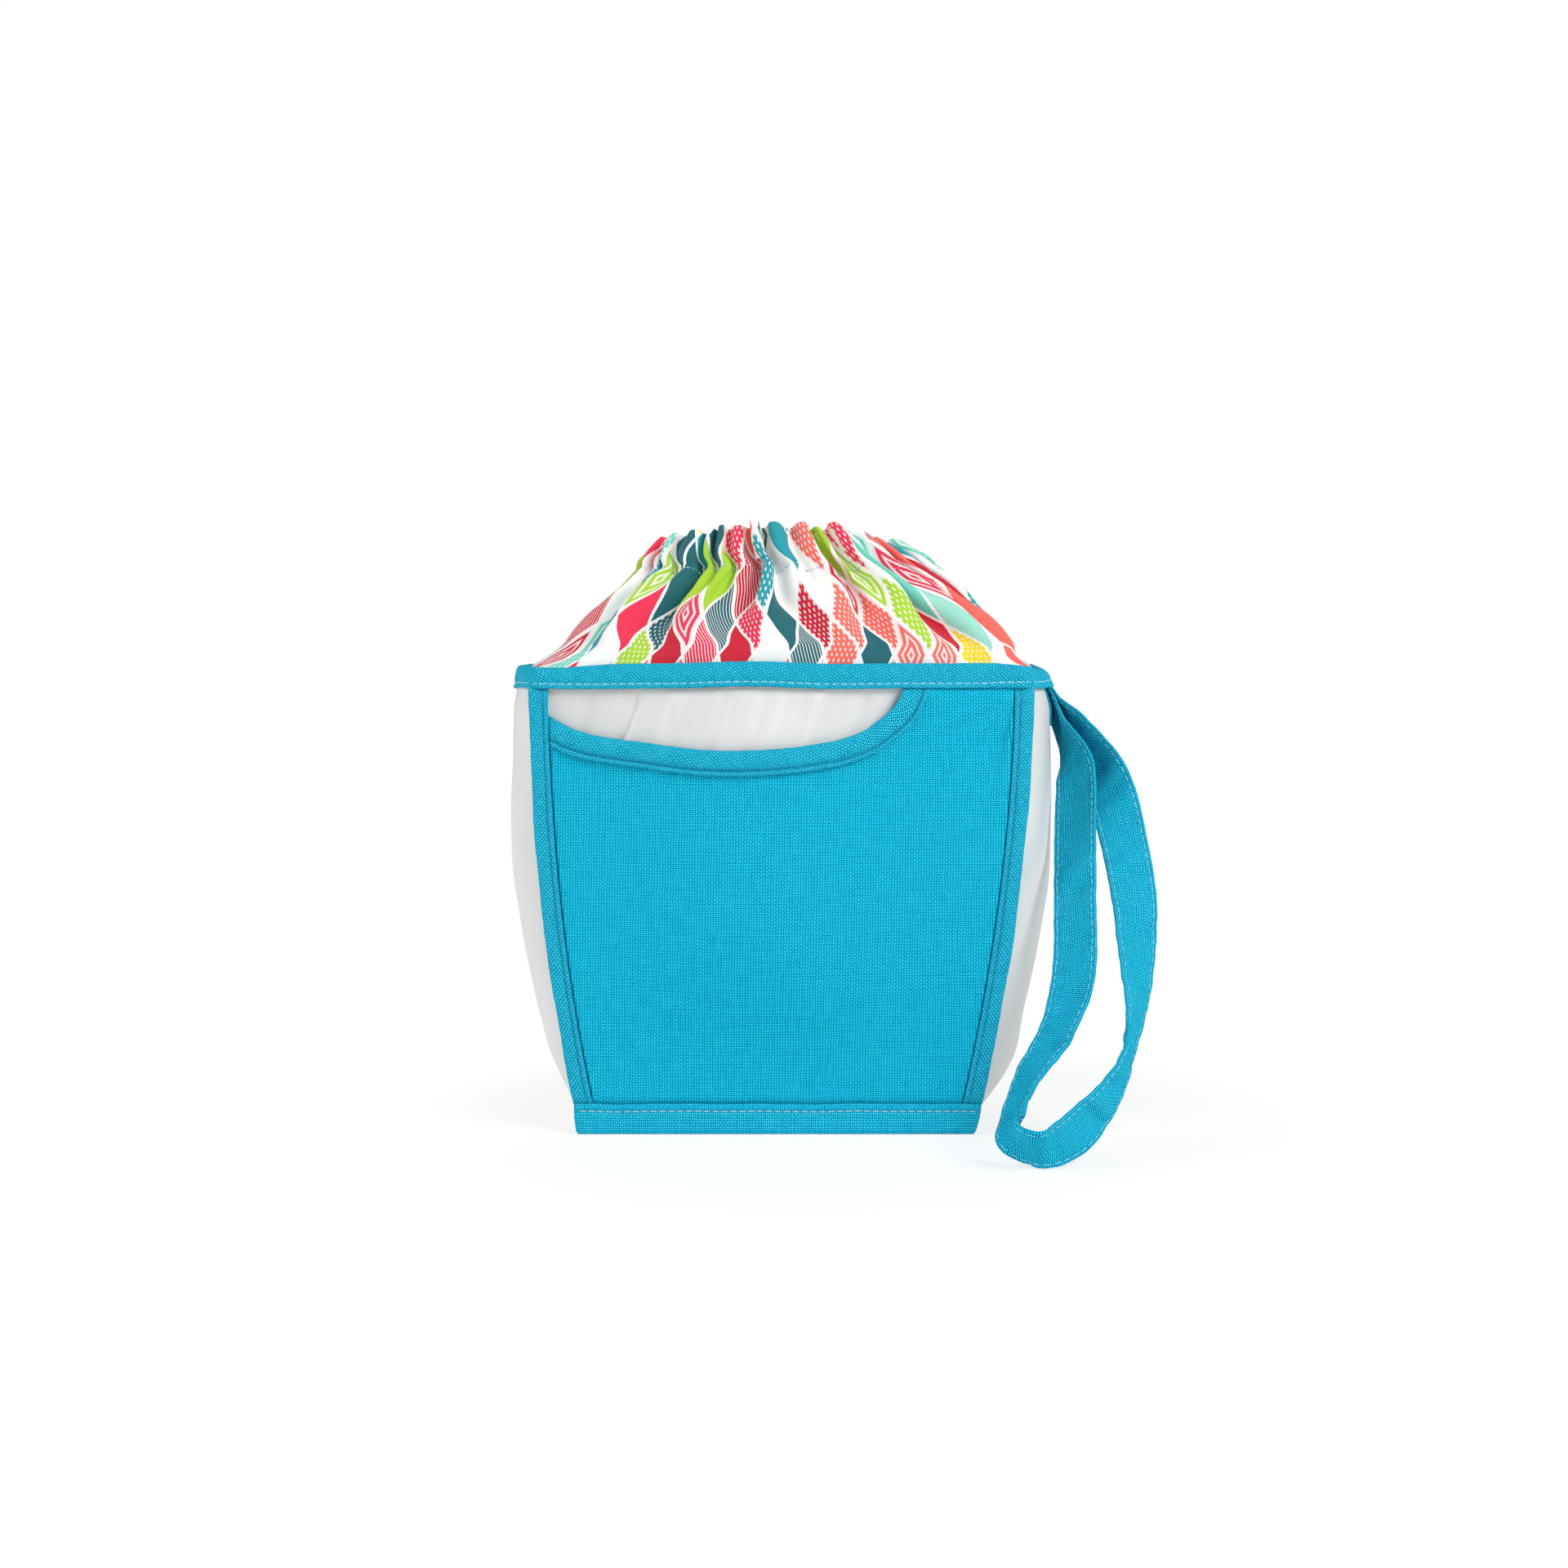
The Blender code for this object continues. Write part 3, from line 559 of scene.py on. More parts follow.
def fold_tape(name, section, length, rows, place, canvas, ring=False):
    """A tape folded to a section and led along its route. place gives points from the section's two
    measures and the share of the length."""
    section = np.array(section)
    steps = np.linalg.norm(np.roll(section, -1, axis=0) - section, axis=1)
    around = running(steps)
    tape = cut_cloth(name, len(section), rows)

    def shaped(u, w):
        corner = np.rint(u * len(section)).astype(int)
        first, second = section[corner % len(section)].T
        return place(first, second, w), (around[corner], w * length)

    drape(tape, shaped)
    bpy.ops.object.mode_set(mode="EDIT")
    bpy.ops.mesh.select_all(action="SELECT")
    bpy.ops.mesh.remove_doubles(threshold=WELD_REACH)
    if not ring:
        bpy.ops.mesh.select_mode(type="EDGE")
        bpy.ops.mesh.select_all(action="DESELECT")
        bpy.ops.mesh.select_non_manifold()
        bpy.ops.mesh.edge_face_add()
    bpy.ops.mesh.select_all(action="SELECT")
    bpy.ops.mesh.normals_make_consistent(inside=False)
    bpy.ops.object.mode_set(mode="OBJECT")
    rounded = tape.modifiers.new("Rounded", "SUBSURF")
    rounded.levels = 1
    rounded.render_levels = 1
    bpy.ops.object.modifier_apply(modifier=rounded.name)
    bpy.ops.object.shade_smooth()
    tape.data.materials.append(canvas)
    return tape


def sewing_thread(name, code):
    """Spun polyester sewing thread: two strands twisted together, dull with a slight silky gleam."""
    twist = 0.0009
    made, tree, shader = new_material(name)
    place = node(tree, "TexCoord").node.outputs["Object"]
    strands = node(tree, "TexNoise", {"Vector": place, "Scale": 1 / twist, "Detail": 1.0})
    light = srgb(code)
    dark = [0.75 * channel for channel in light]
    colour = node(tree, "Mix", {"Factor": strands, 6: dark, 7: light}, data_type="RGBA").node.outputs[2]
    bump = node(tree, "Bump", {"Height": strands, "Strength": 0.5, "Distance": 0.0001})
    feed(shader, {"Base Color": colour, "Normal": bump, "Roughness": 0.6, "Specular IOR Level": 0.2})
    return made


def model_stitch():
    """One stitch: a short plump length of thread that dips into the cloth at both ends."""
    bpy.ops.object.select_all(action="DESELECT")
    bpy.ops.mesh.primitive_uv_sphere_add(segments=6, ring_count=5, radius=1.0)
    stitch = bpy.context.object
    bpy.ops.object.mode_set(mode="EDIT")
    bpy.ops.mesh.select_all(action="SELECT")
    bpy.ops.transform.rotate(value=math.pi / 2, orient_axis="Y", center_override=(0, 0, 0))
    bpy.ops.object.mode_set(mode="OBJECT")
    points = np.array([vertex.co for vertex in stitch.data.vertices])
    faces = [tuple(face.vertices) for face in stitch.data.polygons]
    bpy.data.objects.remove(stitch)
    return points, faces


STITCH_POINTS, STITCH_FACES = model_stitch()


def unit(vectors):
    """The vectors' directions, each with a length of 1."""
    return vectors / np.linalg.norm(vectors, axis=1, keepdims=True)


def sew(name, starts, ends, outs, thread):
    """A row of stitches, each a copy of the one stitch, from its start to its end on the cloth."""
    starts = stand(starts)
    ends = stand(ends)
    half = (ends - starts) / 2
    middle = (ends + starts) / 2
    along = unit(half)
    side = unit(np.cross(outs, along))
    up = np.cross(along, side)
    shape = STITCH_POINTS[None, :, :]
    points = middle[:, None, :] + shape[:, :, 0:1] * half[:, None, :]
    points = points + shape[:, :, 1:2] * side[:, None, :] * STITCH_WIDTH / 2
    points = points + shape[:, :, 2:3] * up[:, None, :] * STITCH_HEIGHT / 2
    count = len(STITCH_POINTS)
    faces = [tuple(i + k * count for i in face) for k in range(len(starts)) for face in STITCH_FACES]
    mesh = bpy.data.meshes.new(name)
    mesh.from_pydata(points.reshape(-1, 3).tolist(), [], faces)
    mesh.shade_smooth()
    mesh.materials.append(thread)
    row = bpy.data.objects.new(name, mesh)
    bpy.context.scene.collection.objects.link(row)
    return row


def sew_along(name, place, groove, rise, length, thread, margin=0.0):
    """Stitches along a tape's groove, from one end margin to the other. The groove is a point of the
    tape's section, and the rise leads from it out of the cloth."""
    count = int((length - 2 * margin) / STITCH_PITCH)
    middles = margin + (np.arange(count) + 0.5) * (length - 2 * margin) / count

    def at(distance, lift=0):
        first = np.full(count, groove[0] + lift * rise[0])
        second = np.full(count, groove[1] + lift * rise[1])
        return np.column_stack(place(first, second, distance / length))

    starts = at(middles - STITCH_LENGTH / 2)
    ends = at(middles + STITCH_LENGTH / 2)
    return sew(name, starts, ends, at(middles, 1) - at(middles), thread)


mouth_x = np.linspace(MOUTH_START, MOUTH_END, 400)
mouth_run = running(np.hypot(np.diff(mouth_x), np.diff(mouth_height(mouth_x))))
mouth_length = float(mouth_run[-1])


def mouth_place(front, drop, share):
    """Place of the mouth tape: it follows the mouth line and is pressed flat under the other tapes."""
    x = np.interp(share * mouth_length, mouth_run, mouth_x)
    slope = mouth_slope(x)
    run = np.sqrt(1 + slope ** 2)
    pucker = wave(share * mouth_length, MOUTH_PUCKER, 41)
    tape_x = x + drop * slope / run
    tape_z = np.minimum(mouth_height(x) - drop / run, BAND_FOOT + UNDER_BAND) + pucker
    pressed = tucked(tape_x, tape_z)
    out = front * (1 - MOUTH_PRESSED * pressed) + pucker * (front > 0)
    return tape_x, -(pocket_depth(tape_x, tape_z) + out), tape_z


BIAS = math.radians(-42)
bias_canvas = woven_canvas("bias-cut cotton canvas tape", ("#004460", "#00aed4", "#58e8fa"), BIAS)
sky_thread = sewing_thread("sky-blue polyester thread", "#0f90b8")
mouth_tape = fold_tape("pocket_mouth_tape", MOUTH_SECTION, mouth_length, 110, mouth_place, bias_canvas)
mouth_seam = sew_along(
    "pocket_mouth_stitches", mouth_place, MOUTH_GROOVE, (STITCH_RISE, 0), mouth_length, sky_thread,
    MOUTH_SEAM_MARGIN,
)
set_on_bag(mouth_tape, "pocket_mouth_binding")
set_on_bag(mouth_seam)


# Side bindings: folded bias tape sewn over the four side seams, standing out as flat flanges. A row of
# stitches near the inner edge leaves a groove and a bead that overlaps the canvas.
SIDE_TAPE_LAP = 0.001
SIDE_TAPE_WIDTH = 0.0075
SIDE_GROOVE = (0.0021, 0.0021)
SIDE_SEAM_MARGIN = 0.006
SIDE_FOOT_LAP = 0.002
SIDE_SWAY = (0.0003, 0.05)
SIDE_PUCKER = (0.00010, 0.006)
SIDE_PRESSED = 0.72
PRESSED_RUN = 0.003
TAPE_FACE = 0.001
CANVAS_STEP = (0.0029, 0.0013)
TAPE_BACK = SEAM_DEPTH + VINYL / 2 + CLEAR
# Section of the tape: distance out from its inner edge, and height above its back
SIDE_SECTION = (
    (0.0002, 0.0012), (0.0000, 0.0020), (0.0004, 0.0026), (0.0012, 0.0027),
    (0.0018, 0.0024), (0.0021, 0.0017), (0.0025, 0.0024), (0.0034, 0.0027),
    (0.0050, 0.0027), (0.0066, 0.0025), (0.0074, 0.0018), (0.0075, 0.0009),
    (0.0069, 0.0001), (0.0050, 0.0000), (0.0030, 0.0000), (0.0026, 0.0011),
)
side_foot = BASE_TAPE_HEIGHT - SIDE_FOOT_LAP
side_length = BAND_FOOT + UNDER_BAND - side_foot


def side_place(side, hand, seed):
    """Place of a side tape, which is pressed flat where the waist band and the base tape cross it. At the
    back there is no canvas under it, so its step for the canvas is left out."""
    def place(across, height, share):
        z = side_foot + side_length * share
        under_band = ease(z - BAND_FOOT, -PRESSED_RUN, PRESSED_RUN)
        under_base = ease(BASE_TAPE_HEIGHT - z, -SIDE_FOOT_LAP, PRESSED_RUN)
        pressed = np.maximum(under_band, under_base)
        sway = wave(z, SIDE_SWAY, seed)
        pucker = wave(z, SIDE_PUCKER, seed + 1)
        x = hand * (seam_half(z) - SIDE_TAPE_LAP + across + sway * across / SIDE_TAPE_WIDTH + pucker)
        if side > 0:
            height = np.where((across < CANVAS_STEP[0]) & (height < CANVAS_STEP[1]), 0.0, height)
        y = side * (TAPE_BACK + (height + pucker * (height > TAPE_FACE)) * (1 - SIDE_PRESSED * pressed))
        return x, y, z
    return place


for seed, (name, cad_node, side, hand) in enumerate((
    ("front_right_tape", "front_right_binding", -1, 1),
    ("front_left_tape", "front_left_binding", -1, -1),
    ("back_right_tape", "back_right_binding", 1, 1),
    ("back_left_tape", "back_left_binding", 1, -1),
)):
    place = side_place(side, hand, 50 + seed)
    tape = fold_tape(name, SIDE_SECTION, side_length, 100, place, bias_canvas)
    seam = sew_along(
        name + "_stitches", place, SIDE_GROOVE, (0, STITCH_RISE), side_length, sky_thread, SIDE_SEAM_MARGIN,
    )
    set_on_bag(tape, cad_node)
    set_on_bag(seam)


# Base bindings: straight canvas tapes along the lower front and back edges, folded over the seam and
# the ends of the side tapes, with pale topstitching a little below the upper edge.
base_tape_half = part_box("front_base_binding")[1].x
BASE_GROOVE = (0.0088, 0.0025)
BASE_SEAM_MARGIN = 0.002
BASE_WAVE = (0.00025, 0.035)
BASE_PUCKER = (0.0001, 2 * STITCH_PITCH)
RIGHT_END_LEAN = 0.0026
LEFT_END_LEAN = 0.0010
END_LEAN_REACH = 0.010
# Section of the tape: height above the floor, and distance out from its back
BASE_SECTION = (
    (0.0004, 0.0000), (0.0000, 0.0008), (0.0001, 0.0018), (0.0008, 0.0026),
    (0.0025, 0.0028), (0.0050, 0.0029), (0.0075, 0.0028), (0.0084, 0.0025),
    (0.0088, 0.0020), (0.0092, 0.0025), (0.0100, 0.0028), (0.0110, 0.0026),
    (0.0116, 0.0020), (0.0116, 0.0013), (0.0100, 0.0012), (0.0085, 0.0010),
    (0.0080, 0.0001), (0.0040, 0.0000),
)
BASE_SECTION_HEIGHT = max(height for height, _ in BASE_SECTION)


def base_tape_place(side, seed):
    """Place of a base tape, with its ends tilted a little where the base's corners are tucked in."""
    def place(height, out, share):
        x = (2 * share - 1) * base_tape_half
        end = ease(np.abs(x) - base_tape_half, -END_LEAN_REACH, END_LEAN_REACH)
        tilt = np.where(x > 0, RIGHT_END_LEAN, -LEFT_END_LEAN) * end * (1 - height / BASE_TAPE_HEIGHT)
        waver = wave(x, BASE_WAVE, seed)
        pucker = wave(x, BASE_PUCKER, seed + 1)
        y = TAPE_BACK + out + (waver * 0.6 + pucker) * (out > TAPE_FACE)
        lifted = np.maximum(height + (waver + pucker) * height / BASE_SECTION_HEIGHT, 0.0)
        return x - tilt, side * y, lifted
    return place


straight_tape = woven_canvas("straight-cut cotton canvas tape", ("#006a8a", "#00aed2", "#4ee2f8"), 0.0)
pale_thread = sewing_thread("pale aqua polyester thread", "#a9dcea")
for name, cad_node, side, seed in (
    ("front_base_tape", "front_base_binding", -1, 61),
    ("back_base_tape", "back_base_binding", 1, 63),
):
    place = base_tape_place(side, seed)
    length = 2 * base_tape_half
    tape = fold_tape(name, BASE_SECTION, length, 90, place, straight_tape)
    seam = sew_along(
        name + "_stitches", place, BASE_GROOVE, (0, STITCH_RISE), length, pale_thread, BASE_SEAM_MARGIN,
    )
    set_on_bag(tape, cad_node)
    set_on_bag(seam)


# Printed top: a straight strip of printed cotton, sewn inside the waist band and gathered by the elastic
# in a casing that is turned in at its mouth. The gathers are deep and narrow there and run out below.
COTTON = 0.00035
TOP_COLUMNS = 800
TOP_ROWS = 60
SKIRT_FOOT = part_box("printed_top")[0].z
SKIRT_OUT = 0.0022
TOP_TUCK = 0.002
NECK_HALF_WIDTH = 0.062
NECK_HALF_DEPTH = 0.036
NECK_SIDE_RISE = 0.0372
NECK_FRONT_RISE = 0.0387
RIM_HALF_WIDTH = 0.0505
RIM_HALF_DEPTH = 0.030
RIM_SIDE_RISE = 0.0467
RIM_FRONT_RISE = 0.0542
FRONT_PUFF = 0.004
TOP_SWAY = ((1.0, 1.2, 1.8, 2.2, 3.0), (0.0, 0.0042, 0.0042, 0.001, -0.002))
CASING_GAP = 0.0030
PLEATS = 42
LONG_FOLDS = 17
CRIMPS = 113
CRIMP_REACH = 0.005
TOP_TO_WALL = 1.0225
CASING_PUFF = 0.0009
RIM_UNEVEN = 0.0011
SKIRT_LENGTH = 0.0123
STEP_LENGTH = 0.008
SHOULDER_LENGTH = 0.050
CASING_LENGTH = 0.0165
TURN_LENGTH = 0.0048
HEM_LENGTH = 0.0140


def waist_outline():
    """Closed outline of the walls at the waist from the back centre round by the left side: distance
    along it, point and outward direction."""
    t = np.linspace(0, 1, 200)[:-1]
    half = seam_half(WAIST)
    bulge = side_half(WAIST) - half
    turn = math.pi * (t - 0.5)
    back = -half * t
    front = half * (2 * t - 1)
    x = [back, -half - bulge * np.cos(turn), front, half + bulge * np.cos(turn), back + half]
    y = [face_depth(back, WAIST), -SEAM_DEPTH * np.sin(turn), -face_depth(front, WAIST)]
    y += [SEAM_DEPTH * np.sin(turn), face_depth(back + half, WAIST)]
    points = np.column_stack([np.concatenate(x), np.concatenate(y)])
    ahead = np.roll(points, -1, axis=0) - np.roll(points, 1, axis=0)
    outs = unit(np.column_stack([ahead[:, 1], -ahead[:, 0]]))
    points = np.vstack([points, points[:1]])
    outs = np.vstack([outs, outs[:1]])
    run = running(np.linalg.norm(np.diff(points, axis=0), axis=1))
    return run, points, outs


WAIST_RUN, WAIST_POINTS, WAIST_OUTS = waist_outline()
WAIST_LENGTH = WAIST_RUN[-1]


def round_waist(distance, out):
    """Point at a distance round the waist, moved outwards, with its outward direction."""
    at = np.mod(distance, WAIST_LENGTH)
    point = [np.interp(at, WAIST_RUN, WAIST_POINTS[:, i]) for i in (0, 1)]
    away = [np.interp(at, WAIST_RUN, WAIST_OUTS[:, i]) for i in (0, 1)]
    return point[0] + away[0] * out, point[1] + away[1] * out, away


def round_oval(share, half_width, half_depth):
    """Point at a share of the way round an oval, from the back round by the left side."""
    turn = np.linspace(0, 2 * math.pi, 721)
    x = -half_width * np.sin(turn)
    y = half_depth * np.cos(turn)
    run = running(np.hypot(np.diff(x), np.diff(y)))
    at = np.mod(share, 1.0) * run[-1]
    return np.interp(at, run, x), np.interp(at, run, y)


def uneven_waves(u, count, seed):
    """Slopes of a run of folds of uneven width and depth, along the flat cloth."""
    rng = np.random.default_rng(seed)
    widths = rng.uniform(0.6, 1.4, count)
    ends = running(widths) / widths.sum()
    depths = rng.uniform(0.65, 1.15, count)
    i = np.clip(np.searchsorted(ends, u, side="right") - 1, 0, count - 1)
    return depths[i] * np.sin(2 * math.pi * (u - ends[i]) / (ends[i + 1] - ends[i]))


def top_surface(share, climb):
    """Ungathered shape of the top: a point at a share of the way round and a climb that runs from 0 at
    the skirt's foot, through 1 at the band and 2 at the casing's seam, to 3 at the rim."""
    skirt = np.clip(climb, 0, 1)
    shoulder = np.clip(climb - 1, 0, 1)
    casing = np.clip(climb - 2, 0, 1)
    waist_x, waist_y, _ = round_waist(share * WAIST_LENGTH, -SKIRT_OUT)
    waist_x = waist_x + lean(waist_x * TOP_TO_WALL, np.full_like(share, WAIST - TOP_TUCK))
    neck_x, neck_y = round_oval(share, NECK_HALF_WIDTH, NECK_HALF_DEPTH)
    rim_x, rim_y = round_oval(share, RIM_HALF_WIDTH, RIM_HALF_DEPTH)
    facing = (neck_y / NECK_HALF_DEPTH) ** 2
    neck_rise = NECK_SIDE_RISE + (NECK_FRONT_RISE - NECK_SIDE_RISE) * facing
    rim_rise = RIM_SIDE_RISE + (RIM_FRONT_RISE - RIM_SIDE_RISE) * facing
    at_side = 0.16 * ease(shoulder / 0.10) + 0.84 * shoulder ** 1.2
    inward = at_side + (shoulder ** 1.5 - at_side) * facing
    puff = FRONT_PUFF * facing * np.sign(neck_y) * np.sin(math.pi * shoulder)
    x = waist_x + (neck_x - waist_x) * inward + (rim_x - neck_x) * casing
    x = x + np.interp(climb, TOP_SWAY[0], TOP_SWAY[1])
    y = waist_y + (neck_y - waist_y) * inward + (rim_y - neck_y) * casing + puff
    z = SKIRT_FOOT + (WAIST - TOP_TUCK - SKIRT_FOOT) * skirt
    z = z + TOP_TUCK * ease(shoulder / 0.10) + neck_rise * shoulder + (rim_rise - neck_rise) * casing
    return np.stack([x, y, z], axis=-1)


def gathered_top(columns, rows):
    """Grid of points of the gathered cloth: every row keeps its flat length and is thrown into folds as
    its outline narrows."""
    lengths = np.array([0, SKIRT_LENGTH, SHOULDER_LENGTH, CASING_LENGTH, TURN_LENGTH, HEM_LENGTH])
    marks = np.cumsum(lengths)
    stages = np.insert(marks, 2, marks[1] + STEP_LENGTH)
    up_cloth = np.linspace(0, marks[-1], rows + 1)
    u = np.arange(columns + 1) / columns
    fine = uneven_waves(u, PLEATS, 12)
    long = uneven_waves(u, LONG_FOLDS, 8)
    crimp = uneven_waves(u, CRIMPS, 15)
    bumps = np.random.default_rng(4).uniform(-1, 1, PLEATS * 2)
    rim_bumps = np.interp(u, np.linspace(0, 1, PLEATS * 2 + 1), np.append(bumps, 0))
    even = np.linspace(0, 1, 1441)
    nearby = 0.04
    grid = np.empty((rows + 1, columns + 1, 3))
    for row, v in enumerate(up_cloth):
        climb = np.interp(v, stages, [0, 1, 1.1, 2, 3, 3, 2.15])
        round_turn = np.clip((v - marks[3]) / TURN_LENGTH, 0, 1) * math.pi
        mean = top_surface(even, np.full_like(even, climb))
        low = top_surface(even, np.full_like(even, max(climb - nearby, 0)))
        high = top_surface(even, np.full_like(even, min(climb + nearby, 3)))
        rising = unit(high - low)
        going = np.roll(mean[:-1], -1, axis=0) - np.roll(mean[:-1], 1, axis=0)
        going = np.vstack([going, going[:1]])
        out = unit(np.cross(going, rising))
        length = np.linalg.norm(np.diff(mean, axis=0), axis=1).sum()
        shoulder = np.clip(climb - 1, 0, 1)
        casing = np.clip(climb - 2, 0, 1)
        deep = ease(shoulder / 0.25) * (1 - 0.65 * ease(shoulder, 0.55, 0.45))
        pinched = 0.35 * math.exp(-((v - marks[2]) / CRIMP_REACH) ** 2)
        slopes = long * deep + fine * ease(shoulder, 0.38, 0.57) + crimp * pinched
        gathered = (1 - length / WAIST_LENGTH) * ease(shoulder, -0.03, 0.4)
        target = np.clip(1 - gathered, 0.50, 1.0)
        few, many = 0.0, 2.0
        for _ in range(24):
            middle = (few + many) / 2
            if np.cos(middle * slopes[:-1]).mean() > target:
                few = middle
            else:
                many = middle
        slopes = slopes * few
        run = running(np.cos(slopes[:-1]))
        share = run / run[-1]
        rise = running(np.sin(slopes[:-1])) * WAIST_LENGTH / columns
        rise = rise - rise[-1] * u
        window = columns // 9
        padded = np.concatenate([rise[-window - 1:-1], rise, rise[1:window + 1]])
        drift = np.convolve(padded, np.ones(2 * window + 1) / (2 * window + 1), mode="valid")
        rise = rise - drift
        rise = rise - np.percentile(rise, 85)
        spot, away, upward = [
            np.column_stack([np.interp(share, even, part) for part in ring.T])
            for ring in (mean, out, rising)
        ]
        inset = CASING_GAP / 2 * (1 - math.cos(round_turn))
        puff = CASING_PUFF * math.sin(math.pi * casing)
        lift = CASING_GAP / 2 * math.sin(round_turn) + RIM_UNEVEN * rim_bumps * casing
        offset = rise - inset + (puff if round_turn < 1.5 else -puff)
        grid[row] = spot + away * offset[:, None] + upward * lift[:, None]
    return grid, up_cloth, marks


def printed_cotton(name, fade):
    """Printed cotton lawn: bright inks on white, crisp at the edges and matt, with a weave too fine to
    see. The print is a harlequin of tall lozenges, some plain and some with spots, stripes or rings."""
    lozenge_width = 0.0135
    lozenge_height = 0.038
    yarn_size = 0.0005
    ring_step = 0.085
    spot_step = 0.07
    stripe_step = 0.045
    border_edge = 0.455
    made, tree, shader = new_material(name)
    flat = node(tree, "TexCoord").node.outputs["UV"]
    split = node(tree, "SeparateXYZ", [flat]).node
    across = node(tree, "Math", [split.outputs[0], 1 / lozenge_width], operation="MULTIPLY")
    first = node(tree, "Math", [split.outputs[1], 1 / lozenge_height, across], operation="MULTIPLY_ADD")
    second = node(tree, "Math", [split.outputs[1], -1 / lozenge_height, across], operation="MULTIPLY_ADD")
    cells = []
    insides = []
    for diagonal in (first, second):
        cells.append(node(tree, "Math", [diagonal], operation="FLOOR"))
        inside = node(tree, "Math", [diagonal], operation="FRACT")
        inside = node(tree, "Math", [inside, 0.5], operation="SUBTRACT")
        insides.append(node(tree, "Math", [inside], operation="ABSOLUTE"))
    cell = node(tree, "CombineXYZ", [cells[0], cells[1], 0.0])
    dice = node(tree, "TexWhiteNoise", {"Vector": cell}, noise_dimensions="3D").node
    chances = node(tree, "SeparateColor", [dice.outputs["Color"]]).node
    inks = node(tree, "ValToRGB", [chances.outputs[0]])
    inks.node.color_ramp.interpolation = "CONSTANT"
    set_stops(inks.node.color_ramp, [
        (0.00, "#c8102f"), (0.13, "#e8274f"), (0.23, "#f4685c"), (0.36, "#0f97a3"), (0.47, "#0b5f68"),
        (0.55, "#6fcfba"), (0.66, "#a3cd2b"), (0.78, "#f2d21c"), (0.83, "#efefec"),
    ])
    border = node(tree, "Math", insides, operation="MAXIMUM")
    rings = node(tree, "Math", [border, ring_step], operation="PINGPONG")
    rings = node(tree, "Math", [rings, 0.052], operation="GREATER_THAN")
    spots = []
    for inside in insides:
        step = node(tree, "Math", [inside, spot_step], operation="PINGPONG")
        spots.append(node(tree, "Math", [step, 2.0], operation="POWER"))
    spot = node(tree, "Math", spots, operation="ADD")
    spot = node(tree, "Math", [spot, 0.0011], operation="LESS_THAN")
    stripe = node(tree, "Math", [insides[0], stripe_step], operation="PINGPONG")
    stripe = node(tree, "Math", [stripe, 0.033], operation="GREATER_THAN")
    bare = node(tree, "Math", [border, border_edge], operation="GREATER_THAN")
    for motif, low, high in ((rings, 0.25, 0.45), (spot, 0.45, 0.72), (stripe, 0.72, 0.9)):
        above = node(tree, "Math", [chances.outputs[1], low], operation="GREATER_THAN")
        below = node(tree, "Math", [chances.outputs[1], high], operation="LESS_THAN")
        chosen = node(tree, "Math", [above, below], operation="MULTIPLY")
        chosen = node(tree, "Math", [chosen, motif], operation="MULTIPLY")
        chosen = node(tree, "Math", [chosen, 0.82], operation="MULTIPLY")
        bare = node(tree, "Math", [bare, chosen], operation="MAXIMUM")
    bare = node(tree, "Math", [bare, fade], operation="MAXIMUM")
    ground = srgb("#efefec")
    colour = node(tree, "Mix", {"Factor": bare, 6: inks, 7: ground}, data_type="RGBA").node.outputs[2]
    yarn = node(tree, "TexNoise", {"Vector": flat, "Scale": 1 / yarn_size, "Detail": 2.0})
    bump = node(tree, "Bump", {"Height": yarn, "Strength": 0.15, "Distance": 0.0001})
    feed(shader, {"Base Color": colour, "Normal": bump, "Roughness": 0.82, "Sheen Weight": 0.06})
    return made


top_grid, top_up, top_marks = gathered_top(TOP_COLUMNS, TOP_ROWS)


def top_place(u, w):
    """Place of the top's cloth, read from its grid of points."""
    column = np.rint(u * TOP_COLUMNS).astype(int)
    row = np.rint(w * TOP_ROWS).astype(int)
    return top_grid[row, column].T, (u * WAIST_LENGTH, top_up[row])


def nearest_row(length):
    """The row of the top's grid nearest to a length up the cloth."""
    return int(np.argmin(np.abs(top_up - length)))


face_print = printed_cotton("printed cotton, face", 0.0)
reverse_print = printed_cotton("printed cotton, reverse", 0.5)
top = make_sheet(
    "gathered_top", TOP_COLUMNS, TOP_ROWS, top_place, COTTON, face_print, reverse_print, ring=True,
)
set_on_bag(top, "printed_top")
seam_row = nearest_row(top_marks[2])
first = np.arange(0, TOP_COLUMNS - 3, 4)
starts = top_grid[seam_row, first]
ends = top_grid[seam_row, first + 3]
upward = top_grid[seam_row + 1, first + 1] - top_grid[seam_row - 1, first + 1]
seam_out = unit(np.cross(ends - starts, upward))
lifted = seam_out * COTTON
casing_seam = sew("casing_stitches", starts + lifted, ends + lifted, seam_out, pale_thread)
set_on_bag(casing_seam)


# Elastic: a flat woven band, cut shorter than the mouth and drawn through the casing, which it gathers.
# It is knitted rubber covered in cream yarn, with fine ribs along its length.
ELASTIC = 0.0008
ELASTIC_ROWS = 6
ELASTIC_FOOT = 0.25
ELASTIC_HEAD = 0.85


